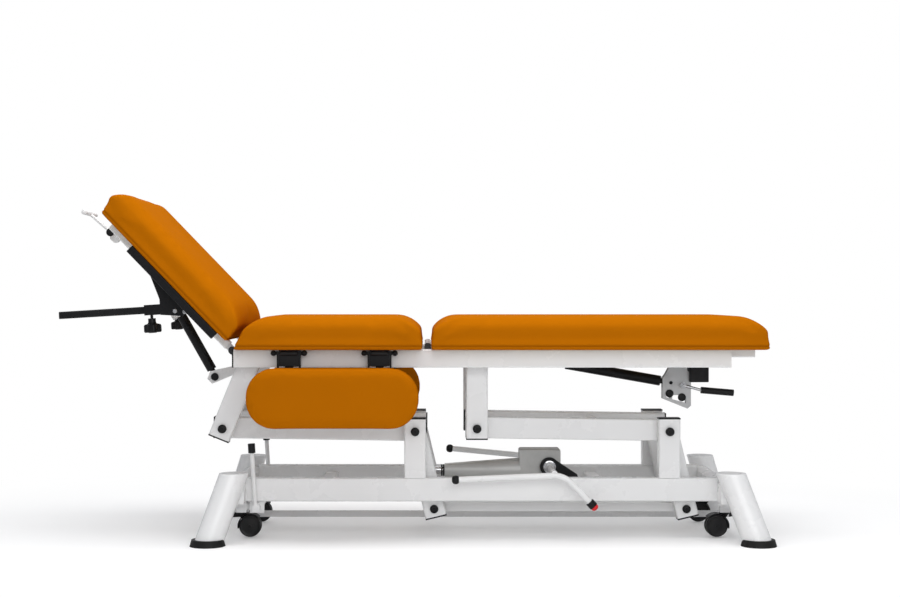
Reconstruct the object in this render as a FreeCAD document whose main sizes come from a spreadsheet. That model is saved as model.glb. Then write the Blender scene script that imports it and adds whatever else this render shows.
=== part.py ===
import FreeCAD, Part

import math
import os
import re

from FreeCAD import Placement, Rotation, Vector

# Hydraulic massage table: three padded sections on a steel frame, lifted by two bell cranks and a
# foot pump, with castors that swing down. Millimetres, +Z up, +X towards the foot end, the user
# side is -Y. The origin is on the floor under the middle of the whole table. The table is drawn
# as it stands with its head section raised and its other sections flat.

# Driving dimensions
DIMENSIONS = {
    # Base frame
    "rail_left": -469.0,
    "rail_right": 839.0,
    "rail_bottom": 105.0,
    "rail_tall": 65.0,
    "rail_thick": 40.0,
    "rail_face": 190.0,
    "tube_wall": 2.5,
    "tube_round": 5.0,
    "cross_tube_wide": 40.0,
    "cross_tube_drop": 18.0,
    "cross_tube_left": -250.0,
    "cross_tube_pump": 395.0,
    "cross_tube_mid": 520.0,
    "beam_wide": 44.0,
    "beam_tall": 58.0,
    "beam_crown": 8.0,
    "beam_reach": 250.0,
    "post_wide": 60.0,
    "post_top": 333.0,
    "plug_lip": 4.0,
    "plug_depth": 12.0,
    # Feet
    "foot_radius": 38.0,
    "foot_wall": 3.0,
    "foot_top": 191.0,
    "foot_top_left": -495.0,
    "foot_top_right": 865.0,
    "foot_top_side": 250.0,
    "foot_splay_x": 65.0,
    "foot_splay_y": 55.0,
    "foot_ring_radius": 48.5,
    "foot_ring_tall": 18.0,
    # Lift linkage
    "pivot_height": 299.0,
    "pivot_spacing": 707.0,
    "arm_length": 535.0,
    "arm_rise": 8.0,
    "arm_tall": 60.0,
    "arm_thick": 40.0,
    "arm_gap": 3.0,
    "arm_end": 26.0,
    "arm_bar_share": 0.35,
    "lever_reach_x": 53.0,
    "lever_drop": 220.0,
    "lever_end": 22.0,
    "ram_share": 0.595,
    "crank_bar_radius": 20.0,
    "pivot_pin_radius": 8.0,
    "pivot_cap_radius": 12.0,
    "pin_clearance": 0.05,
    "tie_tall": 24.0,
    "tie_thick": 8.0,
    # Foot pump
    "pump_height": 172.0,
    "pump_left": 84.0,
    "pump_radius": 36.0,
    "pump_neck_radius": 20.0,
    "pump_bore_depth": 150.0,
    "ram_radius": 11.0,
    "ram_long": 142.0,
    "ram_head_long": 34.0,
    "ram_head_tall": 44.0,
    "ram_head_wide": 34.0,
    "ram_slot_tall": 33.0,
    "ram_slot_wide": 20.0,
    "ram_slot_lift": 2.3,
    "ram_pin_radius": 8.0,
    "housing_left": 299.0,
    "housing_long": 118.0,
    "housing_tall": 84.0,
    "housing_wide": 66.0,
    "pedal_pivot_x": 384.0,
    "pedal_pivot_height": 186.0,
    "pedal_shaft_radius": 9.0,
    "pedal_side": 230.0,
    "pedal_bar_radius": 8.5,
    "pedal_left": 112.0,
    "pedal_left_height": 170.0,
    "pedal_elbow": 396.0,
    "pedal_right": 480.0,
    "pedal_right_height": 102.0,
    "pedal_tip_radius": 12.0,
    "pedal_tip_long": 26.0,
    # Upper frame
    "top_rail_left": -497.0,
    "top_rail_right": 863.0,
    "top_rail_tall": 50.0,
    "top_rail_thick": 40.0,
    "top_rail_face": 250.0,
    "top_cross_tall": 25.0,
    "hanger_inset": 32.0,
    "hanger_end": 27.0,
    "clamp_first": -343.0,
    "clamp_second": -96.0,
    "clamp_wide": 54.0,
    "clamp_deep": 30.0,
    "clamp_tall": 45.0,
    "clamp_pin_drop": 9.8,
    "clamp_pin_side": 272.0,
    "clamp_pin_radius": 5.0,
    "clamp_ball_radius": 8.0,
    # Padded sections
    "pad_half_width": 310.0,
    "board_thick": 16.0,
    "pad_thick": 75.0,
    "pad_shoulder": 37.0,
    "pad_roll": 76.0,
    "pad_side_round": 30.0,
    "deck_height": 529.8,
    "seat_left": -490.0,
    "seat_slant": 22.0,
    "seat_right": 21.0,
    "leg_left": 44.0,
    "leg_right": 962.0,
    "leg_end_roll": 70.0,
    "leg_pivot_x": 35.0,
    "leg_pivot_rise": 7.2,
    "leg_tube_wide": 25.0,
    "leg_tube_tall": 23.7,
    "leg_tube_side": 205.0,
    "leg_tube_right": 941.0,
    # Head section
    "head_pivot_x": -505.0,
    "head_pivot_drop": 4.8,
    "head_angle": 46.0,
    "head_start": 24.0,
    "head_end": 514.0,
    "head_lift": 14.0,
    "head_tube": 25.0,
    "head_tube_side": 216.0,
    "side_rail_start": 58.0,
    "side_rail_end": 387.0,
    "side_rail_tall": 24.0,
    "side_rail_face": 300.0,
    "stay_foot_x": -578.0,
    "stay_foot_drop": 86.8,
    "stay_grip_x": -682.0,
    "stay_grip_rise": 97.2,
    "stay_radius": 14.0,
    "stay_neck_radius": 8.0,
    "stay_slack": 6.6,
    "bar_size": 20.0,
    "bar_tip_x": -977.0,
    "bar_tip_rise": 92.2,
    "bar_slope": 3.5,
    "bar_long": 338.0,
    "bar_side": 230.0,
    "sleeve_from_tip": 235.0,
    "sleeve_long": 100.0,
    "sleeve_wall": 4.0,
    "bar_clearance": 0.3,
    "knob_radius": 25.0,
    "knob_thick": 16.0,
    "knob_drop": 13.0,
    "tee_pivot": 502.0,
    "tee_drop": 38.0,
    "tee_reach": 81.0,
    "tee_width": 160.0,
    "tee_rod_radius": 4.5,
    # Leg spring
    "spring_left_x": 336.0,
    "spring_left_drop": 33.8,
    "spring_right_x": 737.0,
    "spring_right_drop": 104.3,
    "spring_tube_radius": 14.5,
    "spring_bore_radius": 12.5,
    "spring_rod_radius": 4.0,
    "spring_tube_long": 277.0,
    "spring_neck": 30.0,
    "spring_rod_long": 205.0,
    "casting_thick": 26.0,
    "grip_radius": 9.5,
    "grip_long": 94.0,
    # Armrests
    "armrest_left": -457.0,
    "armrest_right": 11.0,
    "armrest_drop": 49.8,
    "armrest_tall": 164.0,
    "armrest_thick": 40.0,
    "armrest_face": 336.0,
    "armrest_corner": 78.0,
    "armrest_arm_thick": 5.0,
    # Castors
    "castor_shaft_left": -440.0,
    "castor_shaft_right": 911.0,
    "castor_shaft_height": 88.0,
    "castor_shaft_radius": 11.0,
    "castor_shaft_half": 207.0,
    "castor_offset": 45.0,
    "castor_side": 150.0,
    "castor_block": 28.0,
    "wheel_radius": 31.0,
    "wheel_height": 34.0,
    "wheel_trail": 24.0,
    "wheel_wide": 15.0,
    "axle_radius": 4.0,
    "stem_radius": 5.5,
    "crank_back": 15.0,
    "crank_drop": 42.0,
    "link_tall": 18.0,
    "link_thick": 8.0,
    "lever_side": 200.0,
    "lever_top": 262.0,
    "lever_rod_radius": 6.0,
    # Fits
    "gap": 0.3,
}

# Heights that follow from the deck's height, since the whole upper frame hangs together
FOLLOWING = {
    "top_rail_bottom": "deck_height - gap - top_rail_tall",
    "clamp_pin_height": "deck_height - clamp_pin_drop",
    "armrest_top": "deck_height - armrest_drop",
    "leg_pivot_height": "deck_height + leg_pivot_rise",
    "head_pivot_height": "deck_height - head_pivot_drop",
    "stay_foot_height": "deck_height - stay_foot_drop",
    "stay_grip_height": "deck_height + stay_grip_rise",
    "bar_tip_height": "deck_height + bar_tip_rise",
    "spring_left_height": "deck_height - spring_left_drop",
    "spring_right_height": "deck_height - spring_right_drop",
}

doc = FreeCAD.newDocument("massage_table")
sheet = doc.addObject("Spreadsheet::Sheet", "Sheet")
for row, (alias, value) in enumerate([*DIMENSIONS.items(), *FOLLOWING.items()], 1):
    sheet.set("A%d" % row, alias)
    sheet.set("B%d" % row, "=" + value if alias in FOLLOWING else repr(value))
    sheet.setAlias("B%d" % row, alias)
doc.recompute()


class Sizes:
    """The sheet's numbers, read back for the places that are worked out from them."""


d = Sizes()
for alias in [*DIMENSIONS, *FOLLOWING]:
    setattr(d, alias, float(sheet.get(alias)))

nodes = []
AXIS = {"x": Vector(1, 0, 0), "y": Vector(0, 1, 0), "z": Vector(0, 0, 1)}


def bind(item, size, formula):
    """Ties one size of an object to the sheet."""
    bound = re.sub(r"[a-z][a-z_]+", lambda word: "Sheet." + word.group(0), formula)
    item.setExpression(size, bound.replace("Sheet.sqrt", "sqrt"))


def at(x=0.0, y=0.0, z=0.0, axis="y", angle=0.0):
    """A place, turned about one axis by an angle in degrees."""
    return Placement(Vector(x, y, z), Rotation(AXIS[axis], angle))


def block(name, length, width, height, place, middle=(0, 0.5, 0.5)):
    """A box along X, set by its left end's middle unless another share of its sizes is given."""
    item = doc.addObject("Part::Box", name)
    bind(item, "Length", length)
    bind(item, "Width", width)
    bind(item, "Height", height)
    item.recompute()
    back = Vector(-item.Length.Value * middle[0], -item.Width.Value * middle[1],
                  -item.Height.Value * middle[2])
    item.Placement = place * Placement(back, Rotation())
    return item


def rod(name, radius, length, place, middle=0.0):
    """A round bar along its place's Z axis."""
    item = doc.addObject("Part::Cylinder", name)
    bind(item, "Radius", radius)
    bind(item, "Height", length)
    item.recompute()
    item.Placement = place * Placement(Vector(0, 0, -item.Height.Value * middle), Rotation())
    return item


def across(x, y, z):
    """A place whose Z axis runs along +Y, for pins and shafts that cross the table."""
    return Placement(Vector(x, y, z), Rotation(Vector(1, 0, 0), -90))


def between(start, end):
    """A place at the start point whose Z axis points at the end point."""
    return Placement(start, Rotation(Vector(0, 0, 1), end.sub(start)))


def cut(name, base, tools):
    item = doc.addObject("Part::Cut", name)
    item.Base = base
    if len(tools) > 1:
        item.Tool = join(name + "_tools", tools)
    else:
        item.Tool = tools[0]
    return item


def join(name, pieces):
    if len(pieces) == 1:
        return pieces[0]
    item = doc.addObject("Part::MultiFuse", name)
    item.Shapes = pieces
    return item


def tube(name, length, width, height, place, middle=(0, 0.5, 0.5)):
    """A square tube along X with rounded outer edges and an open bore."""
    outer = doc.addObject("Part::Box", name + "_outside")
    bind(outer, "Length", length)
    bind(outer, "Width", width)
    bind(outer, "Height", height)
    outer.recompute()
    long, wide, tall = outer.Length.Value, outer.Width.Value, outer.Height.Value
    rounded = doc.addObject("Part::Fillet", name + "_rounded")
    rounded.Base = outer
    rounded.Edges = [(edge, d.tube_round, d.tube_round) for edge in (9, 10, 11, 12)]
    bore = doc.addObject("Part::Box", name + "_bore")
    bind(bore, "Length", "%s + 2" % length)
    bind(bore, "Width", "%s - 2 * tube_wall" % width)
    bind(bore, "Height", "%s - 2 * tube_wall" % height)
    bore.Placement.Base = Vector(-1, d.tube_wall, d.tube_wall)
    item = cut(name, rounded, [bore])
    back = Vector(-long * middle[0], -wide * middle[1], -tall * middle[2])
    item.Placement = place * Placement(back, Rotation())
    return item


def plug(name, width, height, place):
    """A plastic end plug: a lip that covers a tube's end and a stub inside it. +X is outwards."""
    lip = block(name + "_lip", "plug_lip", width, height, Placement())
    stub = block(name + "_stub", "plug_depth", "%s - 2 * tube_wall - 0.2" % width,
                 "%s - 2 * tube_wall - 0.2" % height, at(x=-d.plug_depth))
    item = join(name, [lip, stub])
    item.Placement = place
    return item


def node(name, pieces, fused=False):
    """One named sub-part: a single piece, one weldment, or like pieces side by side."""
    if len(pieces) == 1:
        item = pieces[0]
    elif fused:
        item = join(name + "_weld", pieces)
    else:
        item = doc.addObject("Part::Compound", name + "_set")
        item.Links = pieces
    item.Label = name
    nodes.append(item)
    return item


def mirrored(make, label):
    """Makes a piece on the near side (-Y) and its twin on the far side."""
    return [make(label + "_near", -1), make(label + "_far", 1)]


def polygon_plate(name, points, thick, place):
    """A flat plate whose outline is given in its X and Z, with its thickness centred on Y."""
    corners = [Vector(x, -thick / 2, z) for x, z in points]
    face = Part.Face(Part.makePolygon(corners + corners[:1]))
    item = doc.addObject("Part::Feature", name)
    item.Shape = face.extrude(Vector(0, thick, 0))
    item.Placement = place
    return item


# Places that follow from the driving dimensions
left_pivot = Vector(0, 0, d.pivot_height)
right_pivot = Vector(d.pivot_spacing, 0, d.pivot_height)
arm = Vector(-d.arm_length, 0, d.arm_rise)
lever = Vector(d.lever_reach_x, 0, -d.lever_drop)
arm_side = d.rail_face - d.rail_thick - d.arm_gap - d.arm_thick / 2
rail_side = d.rail_face - d.rail_thick / 2
top_rail_side = d.top_rail_face - d.top_rail_thick / 2
rail_top = d.rail_bottom + d.rail_tall
top_rail_top = d.top_rail_bottom + d.top_rail_tall
lever_angle = math.degrees(math.atan2(d.lever_drop, d.lever_reach_x))
arm_angle = math.degrees(math.atan2(d.arm_rise, d.arm_length))


# Base frame
def base_rail(name, side):
    return tube(name, "rail_right - rail_left", "rail_thick", "rail_tall",
                at(d.rail_left, side * rail_side, d.rail_bottom), (0, 0.5, 0))


node("base_side_rails", mirrored(base_rail, "base_rail"))

inner_half = d.rail_face - d.rail_thick
cross_tubes = []
for number, x in enumerate((d.cross_tube_left, d.cross_tube_pump, d.cross_tube_mid)):
    cross_tubes.append(tube("base_cross_%d" % number, "2 * (rail_face - rail_thick)",
                            "cross_tube_wide", "rail_tall - cross_tube_drop",
                            at(x, -inner_half, d.rail_bottom, "z", 90), (0, 0.5, 0)))


def castor_hanger(name, x, y):
    """A bearing plate under the frame that the castor shaft turns in."""
    reach = d.castor_shaft_radius + 9
    top = d.rail_bottom - d.castor_shaft_height
    back = -d.beam_wide - reach if x > d.rail_right else -reach
    plate = polygon_plate(name + "_plate", [(back, top), (back, top - 12), (-reach, -reach + 4),
                                            (reach, -reach + 4), (reach, top)], 6,
                          at(x, y, d.castor_shaft_height))
    hole = rod(name + "_hole", "castor_shaft_radius + pin_clearance", "20",
               across(x, y, d.castor_shaft_height), 0.5)
    return cut(name, plate, [hole])


hangers = []
for side in (-1, 1):
    hangers.append(castor_hanger("left_castor_hanger_%d" % (side + 2), d.castor_shaft_left,
                                 side * (d.castor_side + 25)))
    hangers.append(castor_hanger("right_castor_hanger_%d" % (side + 2), d.castor_shaft_right,
                                 side * (d.castor_side + 25)))
node("base_cross_tubes", cross_tubes + hangers)


def post(name, x, side):
    return tube(name, "post_top - rail_bottom - rail_tall", "rail_thick", "post_wide",
                at(x, side * rail_side, rail_top, "y", -90), (0, 0.5, 0.5))


def pivot_hole(name, point, side, across_mm=80):
    return rod(name, "pivot_pin_radius + pin_clearance", "%g" % across_mm,
               across(point.x, side * rail_side, point.z), 0.5)


posts = []
for end, pivot in (("left", left_pivot), ("right", right_pivot)):
    for side in (-1, 1):
        name = "%s_post_%d" % (end, side + 2)
        posts.append(cut(name, post(name + "_tube", pivot.x, side),
                         [pivot_hole(name + "_hole", pivot, side)]))
node("base_posts", posts)


def pivot_bolt(name, point, side, reach):
    """A pivot bolt along Y: its round black cap outside and its shank through the joint."""
    outside = side * (d.rail_face + 7)
    start = Vector(point.x, outside, point.z)
    inward = Vector(point.x, 0, point.z)
    cap = rod(name + "_cap", "pivot_cap_radius", "6.7", between(start, inward))
    shank = rod(name + "_shank", "pivot_pin_radius", "%g" % reach, between(start, inward))
    return join(name, [cap, shank])


bolt_reach = d.rail_thick + d.arm_gap + d.arm_thick + 12
base_caps = []
for end, pivot in (("left", left_pivot), ("right", right_pivot)):
    for side in (-1, 1):
        name = "%s_post_cap_%d" % (end, side + 2)
        base_caps.append(plug(name, "rail_thick", "post_wide",
                              at(pivot.x, side * rail_side, d.post_top, "y", -90)))
        base_caps.append(pivot_bolt("%s_base_bolt_%d" % (end, side + 2), pivot, side, bolt_reach))
node("base_plugs_and_bolts", base_caps)


def end_beam(name, x):
    """The crowned beam across one end: a flat-bottomed section whose top is a shallow arc."""
    half = d.beam_wide / 2
    side_top = d.beam_tall - d.beam_crown
    left, top, right = Vector(-half, 0, side_top), Vector(0, 0, d.beam_tall), Vector(half, 0, side_top)
    outline = Part.Wire([Part.makePolygon([left, Vector(-half, 0, 0), Vector(half, 0, 0), right]),
                         Part.Arc(right, top, left).toShape()])
    item = doc.addObject("Part::Feature", name)
    item.Shape = Part.Face(outline).extrude(Vector(0, 2 * d.beam_reach, 0))
    item.Placement = at(x, -d.beam_reach, d.rail_bottom)
    return item


beam_left = d.rail_left - d.beam_wide / 2
beam_right = d.rail_right + d.beam_wide / 2
feet = []
rings = []
foot_bores = []
for end, x, lean in (("left", d.foot_top_left, -1), ("right", d.foot_top_right, 1)):
    for side in (-1, 1):
        name = "%s_foot_%d" % (end, side + 2)
        slope = Vector(lean * d.foot_splay_x, side * d.foot_splay_y, -d.foot_top)
        top = Vector(x, side * d.foot_top_side, d.foot_top)
        start = top.sub(slope * 0.3)
        place = between(start, top.add(slope))
        long = "1.6 * sqrt(foot_splay_x ^ 2 + foot_splay_y ^ 2 + foot_top ^ 2)"
        wall = rod(name + "_wall", "foot_radius", long, place)
        keep = block(name + "_keep", "600", "600", "foot_top - 6", at(top.x, top.y, 6), (0.5, 0.5, 0))
        foot = doc.addObject("Part::Common", name + "_solid")
        foot.Base = wall
        foot.Tool = keep
        bore = rod(name + "_bore", "foot_radius - foot_wall", long, place)
        cap_space = block(name + "_space", "600", "600", "foot_top - 6 - foot_wall",
                          at(top.x, top.y, 6), (0.5, 0.5, 0))
        inside = doc.addObject("Part::Common", name + "_inside")
        inside.Base = bore
        inside.Tool = cap_space
        feet.append(cut(name, foot, [inside]))
        foot_bores.append(wall)
        sole = top.add(slope)
        ring = doc.addObject("Part::Cone", name + "_ring_body")
        bind(ring, "Radius1", "foot_ring_radius")
        bind(ring, "Radius2", "foot_ring_radius - 5")
        bind(ring, "Height", "foot_ring_tall")
        ring.Placement.Base = Vector(sole.x, sole.y, 0)
        wide = rod(name + "_ring_seat", "foot_radius + gap", long, place)
        above = block(name + "_ring_above", "300", "300", "100", at(sole.x, sole.y, 6 - d.gap),
                      (0.5, 0.5, 0))
        seat = doc.addObject("Part::Common", name + "_ring_pocket")
        seat.Base = wide
        seat.Tool = above
        rings.append(cut(name + "_ring", ring, [seat]))
beams = [cut("left_end_beam", end_beam("left_beam_bar", beam_left), foot_bores[:2]),
         cut("right_end_beam", end_beam("right_beam_bar", beam_right), foot_bores[2:])]
node("end_beams", beams)
node("foot_tubes", feet)
node("foot_rings", rings)


# Lift linkage: two bell cranks, each two arms and two levers joined by round cross bars
def crank(end, pivot):
    """One bell crank: its arms reach to the upper frame and its levers to the tie bars."""
    shoulder = 0.5 * d.post_wide
    arms = []
    levers = []
    holes = []
    for side in (-1, 1):
        name = "%s_crank_%d" % (end, side + 2)
        y = side * arm_side
        place = Placement(Vector(pivot.x, y, pivot.z), Rotation(AXIS["y"], arm_angle))
        long = "arm_end + sqrt(arm_length ^ 2 + arm_rise ^ 2) + %g" % shoulder
        reach = d.arm_end + math.hypot(d.arm_length, d.arm_rise)
        arms.append(tube(name + "_arm", long, "arm_thick", "arm_tall",
                         place * Placement(Vector(-reach, 0, 0), Rotation())))
        clear = block(name + "_arm_outline", long, "arm_thick + 2", "arm_tall",
                      place * Placement(Vector(-reach, 0, 0), Rotation()))
        down = Placement(Vector(pivot.x, y, pivot.z), Rotation(AXIS["y"], lever_angle))
        leg = tube(name + "_lever_bar", "sqrt(lever_reach_x ^ 2 + lever_drop ^ 2) + lever_end",
                   "arm_thick", "arm_tall", down)
        levers.append(cut(name + "_lever", leg, [clear]))
        for number, point in enumerate((pivot, pivot.add(arm), pivot.add(lever))):
            holes.append(rod("%s_hole_%d" % (name, number), "pivot_pin_radius + pin_clearance",
                             "arm_thick + 10", across(point.x, y, point.z), 0.5))
    half = arm_side - d.arm_thick / 2
    bar_at = pivot.add(arm * d.arm_bar_share)
    bars = [rod(end + "_arm_bar", "crank_bar_radius", "%g" % (2 * half),
                across(bar_at.x, 0, bar_at.z), 0.5)]
    pin_at = pivot.add(lever * d.ram_share)
    if end == "left":
        short = half - d.ram_head_wide / 2 - 6
        for side in (-1, 1):
            bars.append(rod("left_lever_bar_%d" % (side + 2), "crank_bar_radius", "%g" % short,
                            across(pin_at.x, side * (half - short / 2), pin_at.z), 0.5))
        bars.append(rod("left_ram_pin", "ram_pin_radius", "%g" % (2 * half - short),
                        across(pin_at.x, 0, pin_at.z), 0.5))
    else:
        bars.append(rod("right_lever_bar", "crank_bar_radius", "%g" % (2 * half),
                        across(pin_at.x, 0, pin_at.z), 0.5))
    body = join(end + "_crank_body", arms + levers + bars)
    node(end + "_lift_crank", [cut(end + "_crank_bored", body, holes)])


def crank_plugs(end, pivot):
    """Black plugs in a crank's open tube ends, and the bolts that carry the tie bars."""
    pieces = []
    for side in (-1, 1):
        name = "%s_crank_plug_%d" % (end, side + 2)
        y = side * arm_side
        reach = d.arm_end + math.hypot(d.arm_length, d.arm_rise)
        outer = Placement(Vector(pivot.x, y, pivot.z), Rotation(AXIS["y"], arm_angle))
        pieces.append(plug(name + "_outer", "arm_thick", "arm_tall",
                           outer * Placement(Vector(-reach, 0, 0), Rotation(AXIS["z"], 180))))
        down = Placement(Vector(pivot.x, y, pivot.z), Rotation(AXIS["y"], lever_angle))
        long = math.hypot(d.lever_reach_x, d.lever_drop) + d.lever_end
        inner_plug = plug(name + "_inner", "arm_thick", "arm_tall",
                          outer * Placement(Vector(0.5 * d.post_wide, 0, 0), Rotation()))
        lever_space = block(name + "_lever_space", "%g" % long, "arm_thick + 2", "arm_tall", down)
        pieces.append(cut(name + "_inner_cut", inner_plug, [lever_space]))
        low_plug = plug(name + "_lower", "arm_thick", "arm_tall",
                        down * Placement(Vector(long, 0, 0), Rotation()))
        foot = pivot.add(lever)
        hole = rod(name + "_lower_hole", "pivot_pin_radius + pin_clearance", "arm_thick + 10",
                   across(foot.x, y, foot.z), 0.5)
        pieces.append(cut(name + "_lower_cut", low_plug, [hole]))
        face = side * (arm_side + d.arm_thick / 2 + d.gap)
        start = Vector(foot.x, face + side * 2.2, foot.z)
        inward = Vector(foot.x, 0, foot.z)
        cap = rod(name + "_cap", "pivot_cap_radius - 1", "2.2", between(start, inward))
        shank = rod(name + "_shank", "pivot_pin_radius",
                    "arm_thick + tie_thick + 12", between(start, inward))
        pieces.append(join(name + "_bolt", [cap, shank]))
    node(end + "_crank_plugs", pieces)


crank("left", left_pivot)
crank("right", right_pivot)
crank_plugs("left", left_pivot)
crank_plugs("right", right_pivot)


def tie_bar(name, side):
    """The flat bar that makes both cranks turn together."""
    y = side * (arm_side - d.arm_thick / 2 - 4 - d.tie_thick / 2)
    foot = left_pivot.add(lever)
    bar = block(name + "_bar", "pivot_spacing + 2 * pivot_cap_radius", "tie_thick", "tie_tall",
                at(foot.x - d.pivot_cap_radius, y, foot.z))
    holes = [rod("%s_hole_%d" % (name, number), "pivot_pin_radius + pin_clearance", "20",
                 across(foot.x + number * d.pivot_spacing, y, foot.z), 0.5) for number in (0, 1)]
    return cut(name, bar, holes)


node("tie_bars", mirrored(tie_bar, "tie_bar"))

# Foot pump: a tapered cylinder and its housing on a cross tube, the ram and the pedal rocker
pump_bottom = d.rail_bottom + d.rail_tall - d.cross_tube_drop
taper = doc.addObject("Part::Cone", "pump_taper")
bind(taper, "Radius1", "pump_neck_radius")
bind(taper, "Radius2", "pump_radius")
bind(taper, "Height", "housing_left - pump_left + 2")
taper.Placement = Placement(Vector(d.pump_left, 0, d.pump_height), Rotation(AXIS["y"], 90))
pump_box = block("pump_box", "housing_long", "housing_wide", "housing_tall",
                 at(d.housing_left, 0, pump_bottom), (0, 0.5, 0))
pump_round = doc.addObject("Part::Fillet", "pump_box_round")
pump_round.Base = pump_box
pump_round.Edges = [(edge, 6.0, 6.0) for edge in (2, 6, 10, 12)]
pump_bore = rod("pump_bore", "ram_radius + pin_clearance", "pump_bore_depth + 30",
                Placement(Vector(d.pump_left - 30, 0, d.pump_height), Rotation(AXIS["y"], 90)))
shaft_bore = rod("pump_shaft_bore", "pedal_shaft_radius + pin_clearance", "housing_wide + 20",
                 across(d.pedal_pivot_x, 0, d.pedal_pivot_height), 0.5)
node("pump_body", [cut("pump_solid", join("pump_outside", [taper, pump_round]),
                       [pump_bore, shaft_bore])])

ram_pin = left_pivot.add(lever * d.ram_share)
head_left = ram_pin.x - d.ram_head_long / 2
ram_head = block("ram_head", "ram_head_long", "ram_head_wide", "ram_head_tall",
                 at(head_left, 0, ram_pin.z + d.ram_slot_lift))
ram_slot = block("ram_slot", "ram_slot_wide", "ram_head_wide + 10", "ram_slot_tall",
                 at(ram_pin.x, 0, ram_pin.z + d.ram_slot_lift), (0.5, 0.5, 0.5))
ram_rod = rod("ram_rod", "ram_radius", "ram_long",
              Placement(Vector(head_left + d.ram_head_long, 0, d.pump_height),
                        Rotation(AXIS["y"], 90)))
node("pump_ram", [join("ram_solid", [cut("ram_eye", ram_head, [ram_slot]), ram_rod])])

shaft_at = Vector(d.pedal_pivot_x, 0, d.pedal_pivot_height)
near = -d.pedal_side
near_tip = Vector(d.pedal_left, near, d.pedal_left_height)
near_elbow = Vector(d.pedal_elbow, near, d.pedal_pivot_height - 4)
near_end = Vector(d.pedal_right, near, d.pedal_right_height)
far_tip = Vector(d.pedal_left - 10, d.pedal_side, d.pedal_pivot_height + 27)
far_elbow = Vector(d.pedal_pivot_x, d.pedal_side, d.pedal_pivot_height)


def bar_between(name, start, end, radius="pedal_bar_radius"):
    return rod(name, radius, "%g" % end.sub(start).Length, between(start, end))


def ball(name, radius, point):
    item = doc.addObject("Part::Sphere", name)
    bind(item, "Radius", radius)
    item.Placement.Base = point
    return item


pedal_pieces = [
    rod("pedal_shaft", "pedal_shaft_radius", "2 * pedal_side",
        across(shaft_at.x, 0, shaft_at.z), 0.5),
    rod("pedal_near_end", "pedal_shaft_radius + 3", "18",
        across(shaft_at.x, near, shaft_at.z), 0.5),
    rod("pedal_far_end", "pedal_shaft_radius + 3", "18",
        across(shaft_at.x, -near, shaft_at.z), 0.5),
    bar_between("pedal_near_bar", near_tip, near_elbow),
    ball("pedal_bend", "pedal_bar_radius + 0.4", near_elbow),
    bar_between("pedal_toe_bar", near_elbow, near_end),
    bar_between("pedal_far_bar", far_tip, far_elbow),
]
node("pedal_rocker", pedal_pieces, fused=True)


def pedal_tip(name, end, inner):
    """A closed plastic sleeve over a pedal bar's end."""
    inward = inner.sub(end).normalize()
    start = end.sub(inward * 5)
    outside = rod(name + "_outside", "pedal_tip_radius", "pedal_tip_long", between(start, inner))
    bore = rod(name + "_bore", "pedal_bar_radius + pin_clearance", "pedal_tip_long",
               between(end, inner))
    return cut(name, outside, [bore])


tips = [pedal_tip("near_pedal_tip", near_tip, near_elbow),
        pedal_tip("far_pedal_tip", far_tip, far_elbow)]
node("red_pedal_tip", [pedal_tip("toe_pedal_tip", near_end, near_elbow)])

crank_y = -d.housing_wide / 2 - 9
tail = Vector(d.pedal_pivot_x + 72, crank_y, d.pedal_pivot_height - 27)
cover_disc = rod("crank_disc", "27", "12", across(shaft_at.x, crank_y, shaft_at.z), 0.5)
cover_tail = rod("crank_tail", "9", "12", across(tail.x, crank_y, tail.z), 0.5)
cover_web = polygon_plate("crank_web", [(9, 25.5), (75, -18.5), (69, -35.5), (-9, -25.5)], 12,
                          at(shaft_at.x, crank_y, shaft_at.z))
cover_bore = rod("crank_bore", "pedal_shaft_radius + pin_clearance", "20",
                 across(shaft_at.x, crank_y, shaft_at.z), 0.5)
pump_crank = cut("crank_solid", join("crank_outside", [cover_disc, cover_web, cover_tail]),
                 [cover_bore])
node("pedal_tips_and_crank", tips + [pump_crank])


# Upper frame
def top_rail(name, side):
    return tube(name, "top_rail_right - top_rail_left", "top_rail_thick", "top_rail_tall",
                at(d.top_rail_left, side * top_rail_side, d.top_rail_bottom), (0, 0.5, 0))


node("upper_side_rails", mirrored(top_rail, "upper_rail"))

top_half = d.top_rail_face - d.top_rail_thick
left_top_pin = left_pivot.add(arm)
right_top_pin = right_pivot.add(arm)
hanger_x = d.top_rail_left + d.hanger_inset
upper_cross = []
cross_places = (("hanger_cross", hanger_x), ("seat_cross", -180.0),
                ("right_hanger_cross", right_top_pin.x), ("leg_cross", 255.0),
                ("spring_cross", d.spring_right_x + 20), ("end_cross", d.top_rail_right - 20))
for name, x in cross_places:
    upper_cross.append(tube(name, "2 * (top_rail_face - top_rail_thick)", "cross_tube_wide",
                            "top_cross_tall", at(x, -top_half, d.top_rail_bottom, "z", 90),
                            (0, 0.5, 0)))


def stay_ear(name, y):
    """One ear of the bracket that holds the foot of the head section's stay."""
    x, z = d.stay_foot_x, d.stay_foot_height
    right = hanger_x - x - d.cross_tube_wide / 2 + 12
    low = d.top_rail_bottom - z
    ear = polygon_plate(name + "_plate", [(-14, 16), (-22, -6), (-8, -20), (40, 0),
                                          (right, low), (right - 24, low)], 6, at(x, y, z))
    hole = rod(name + "_hole", "stay_neck_radius + pin_clearance", "20", across(x, y, z), 0.5)
    return cut(name, ear, [hole])


stay_ears = [stay_ear("stay_ear_near", -d.stay_radius - 4),
             stay_ear("stay_ear_far", d.stay_radius + 4)]
node("upper_cross_tubes", upper_cross)


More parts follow.
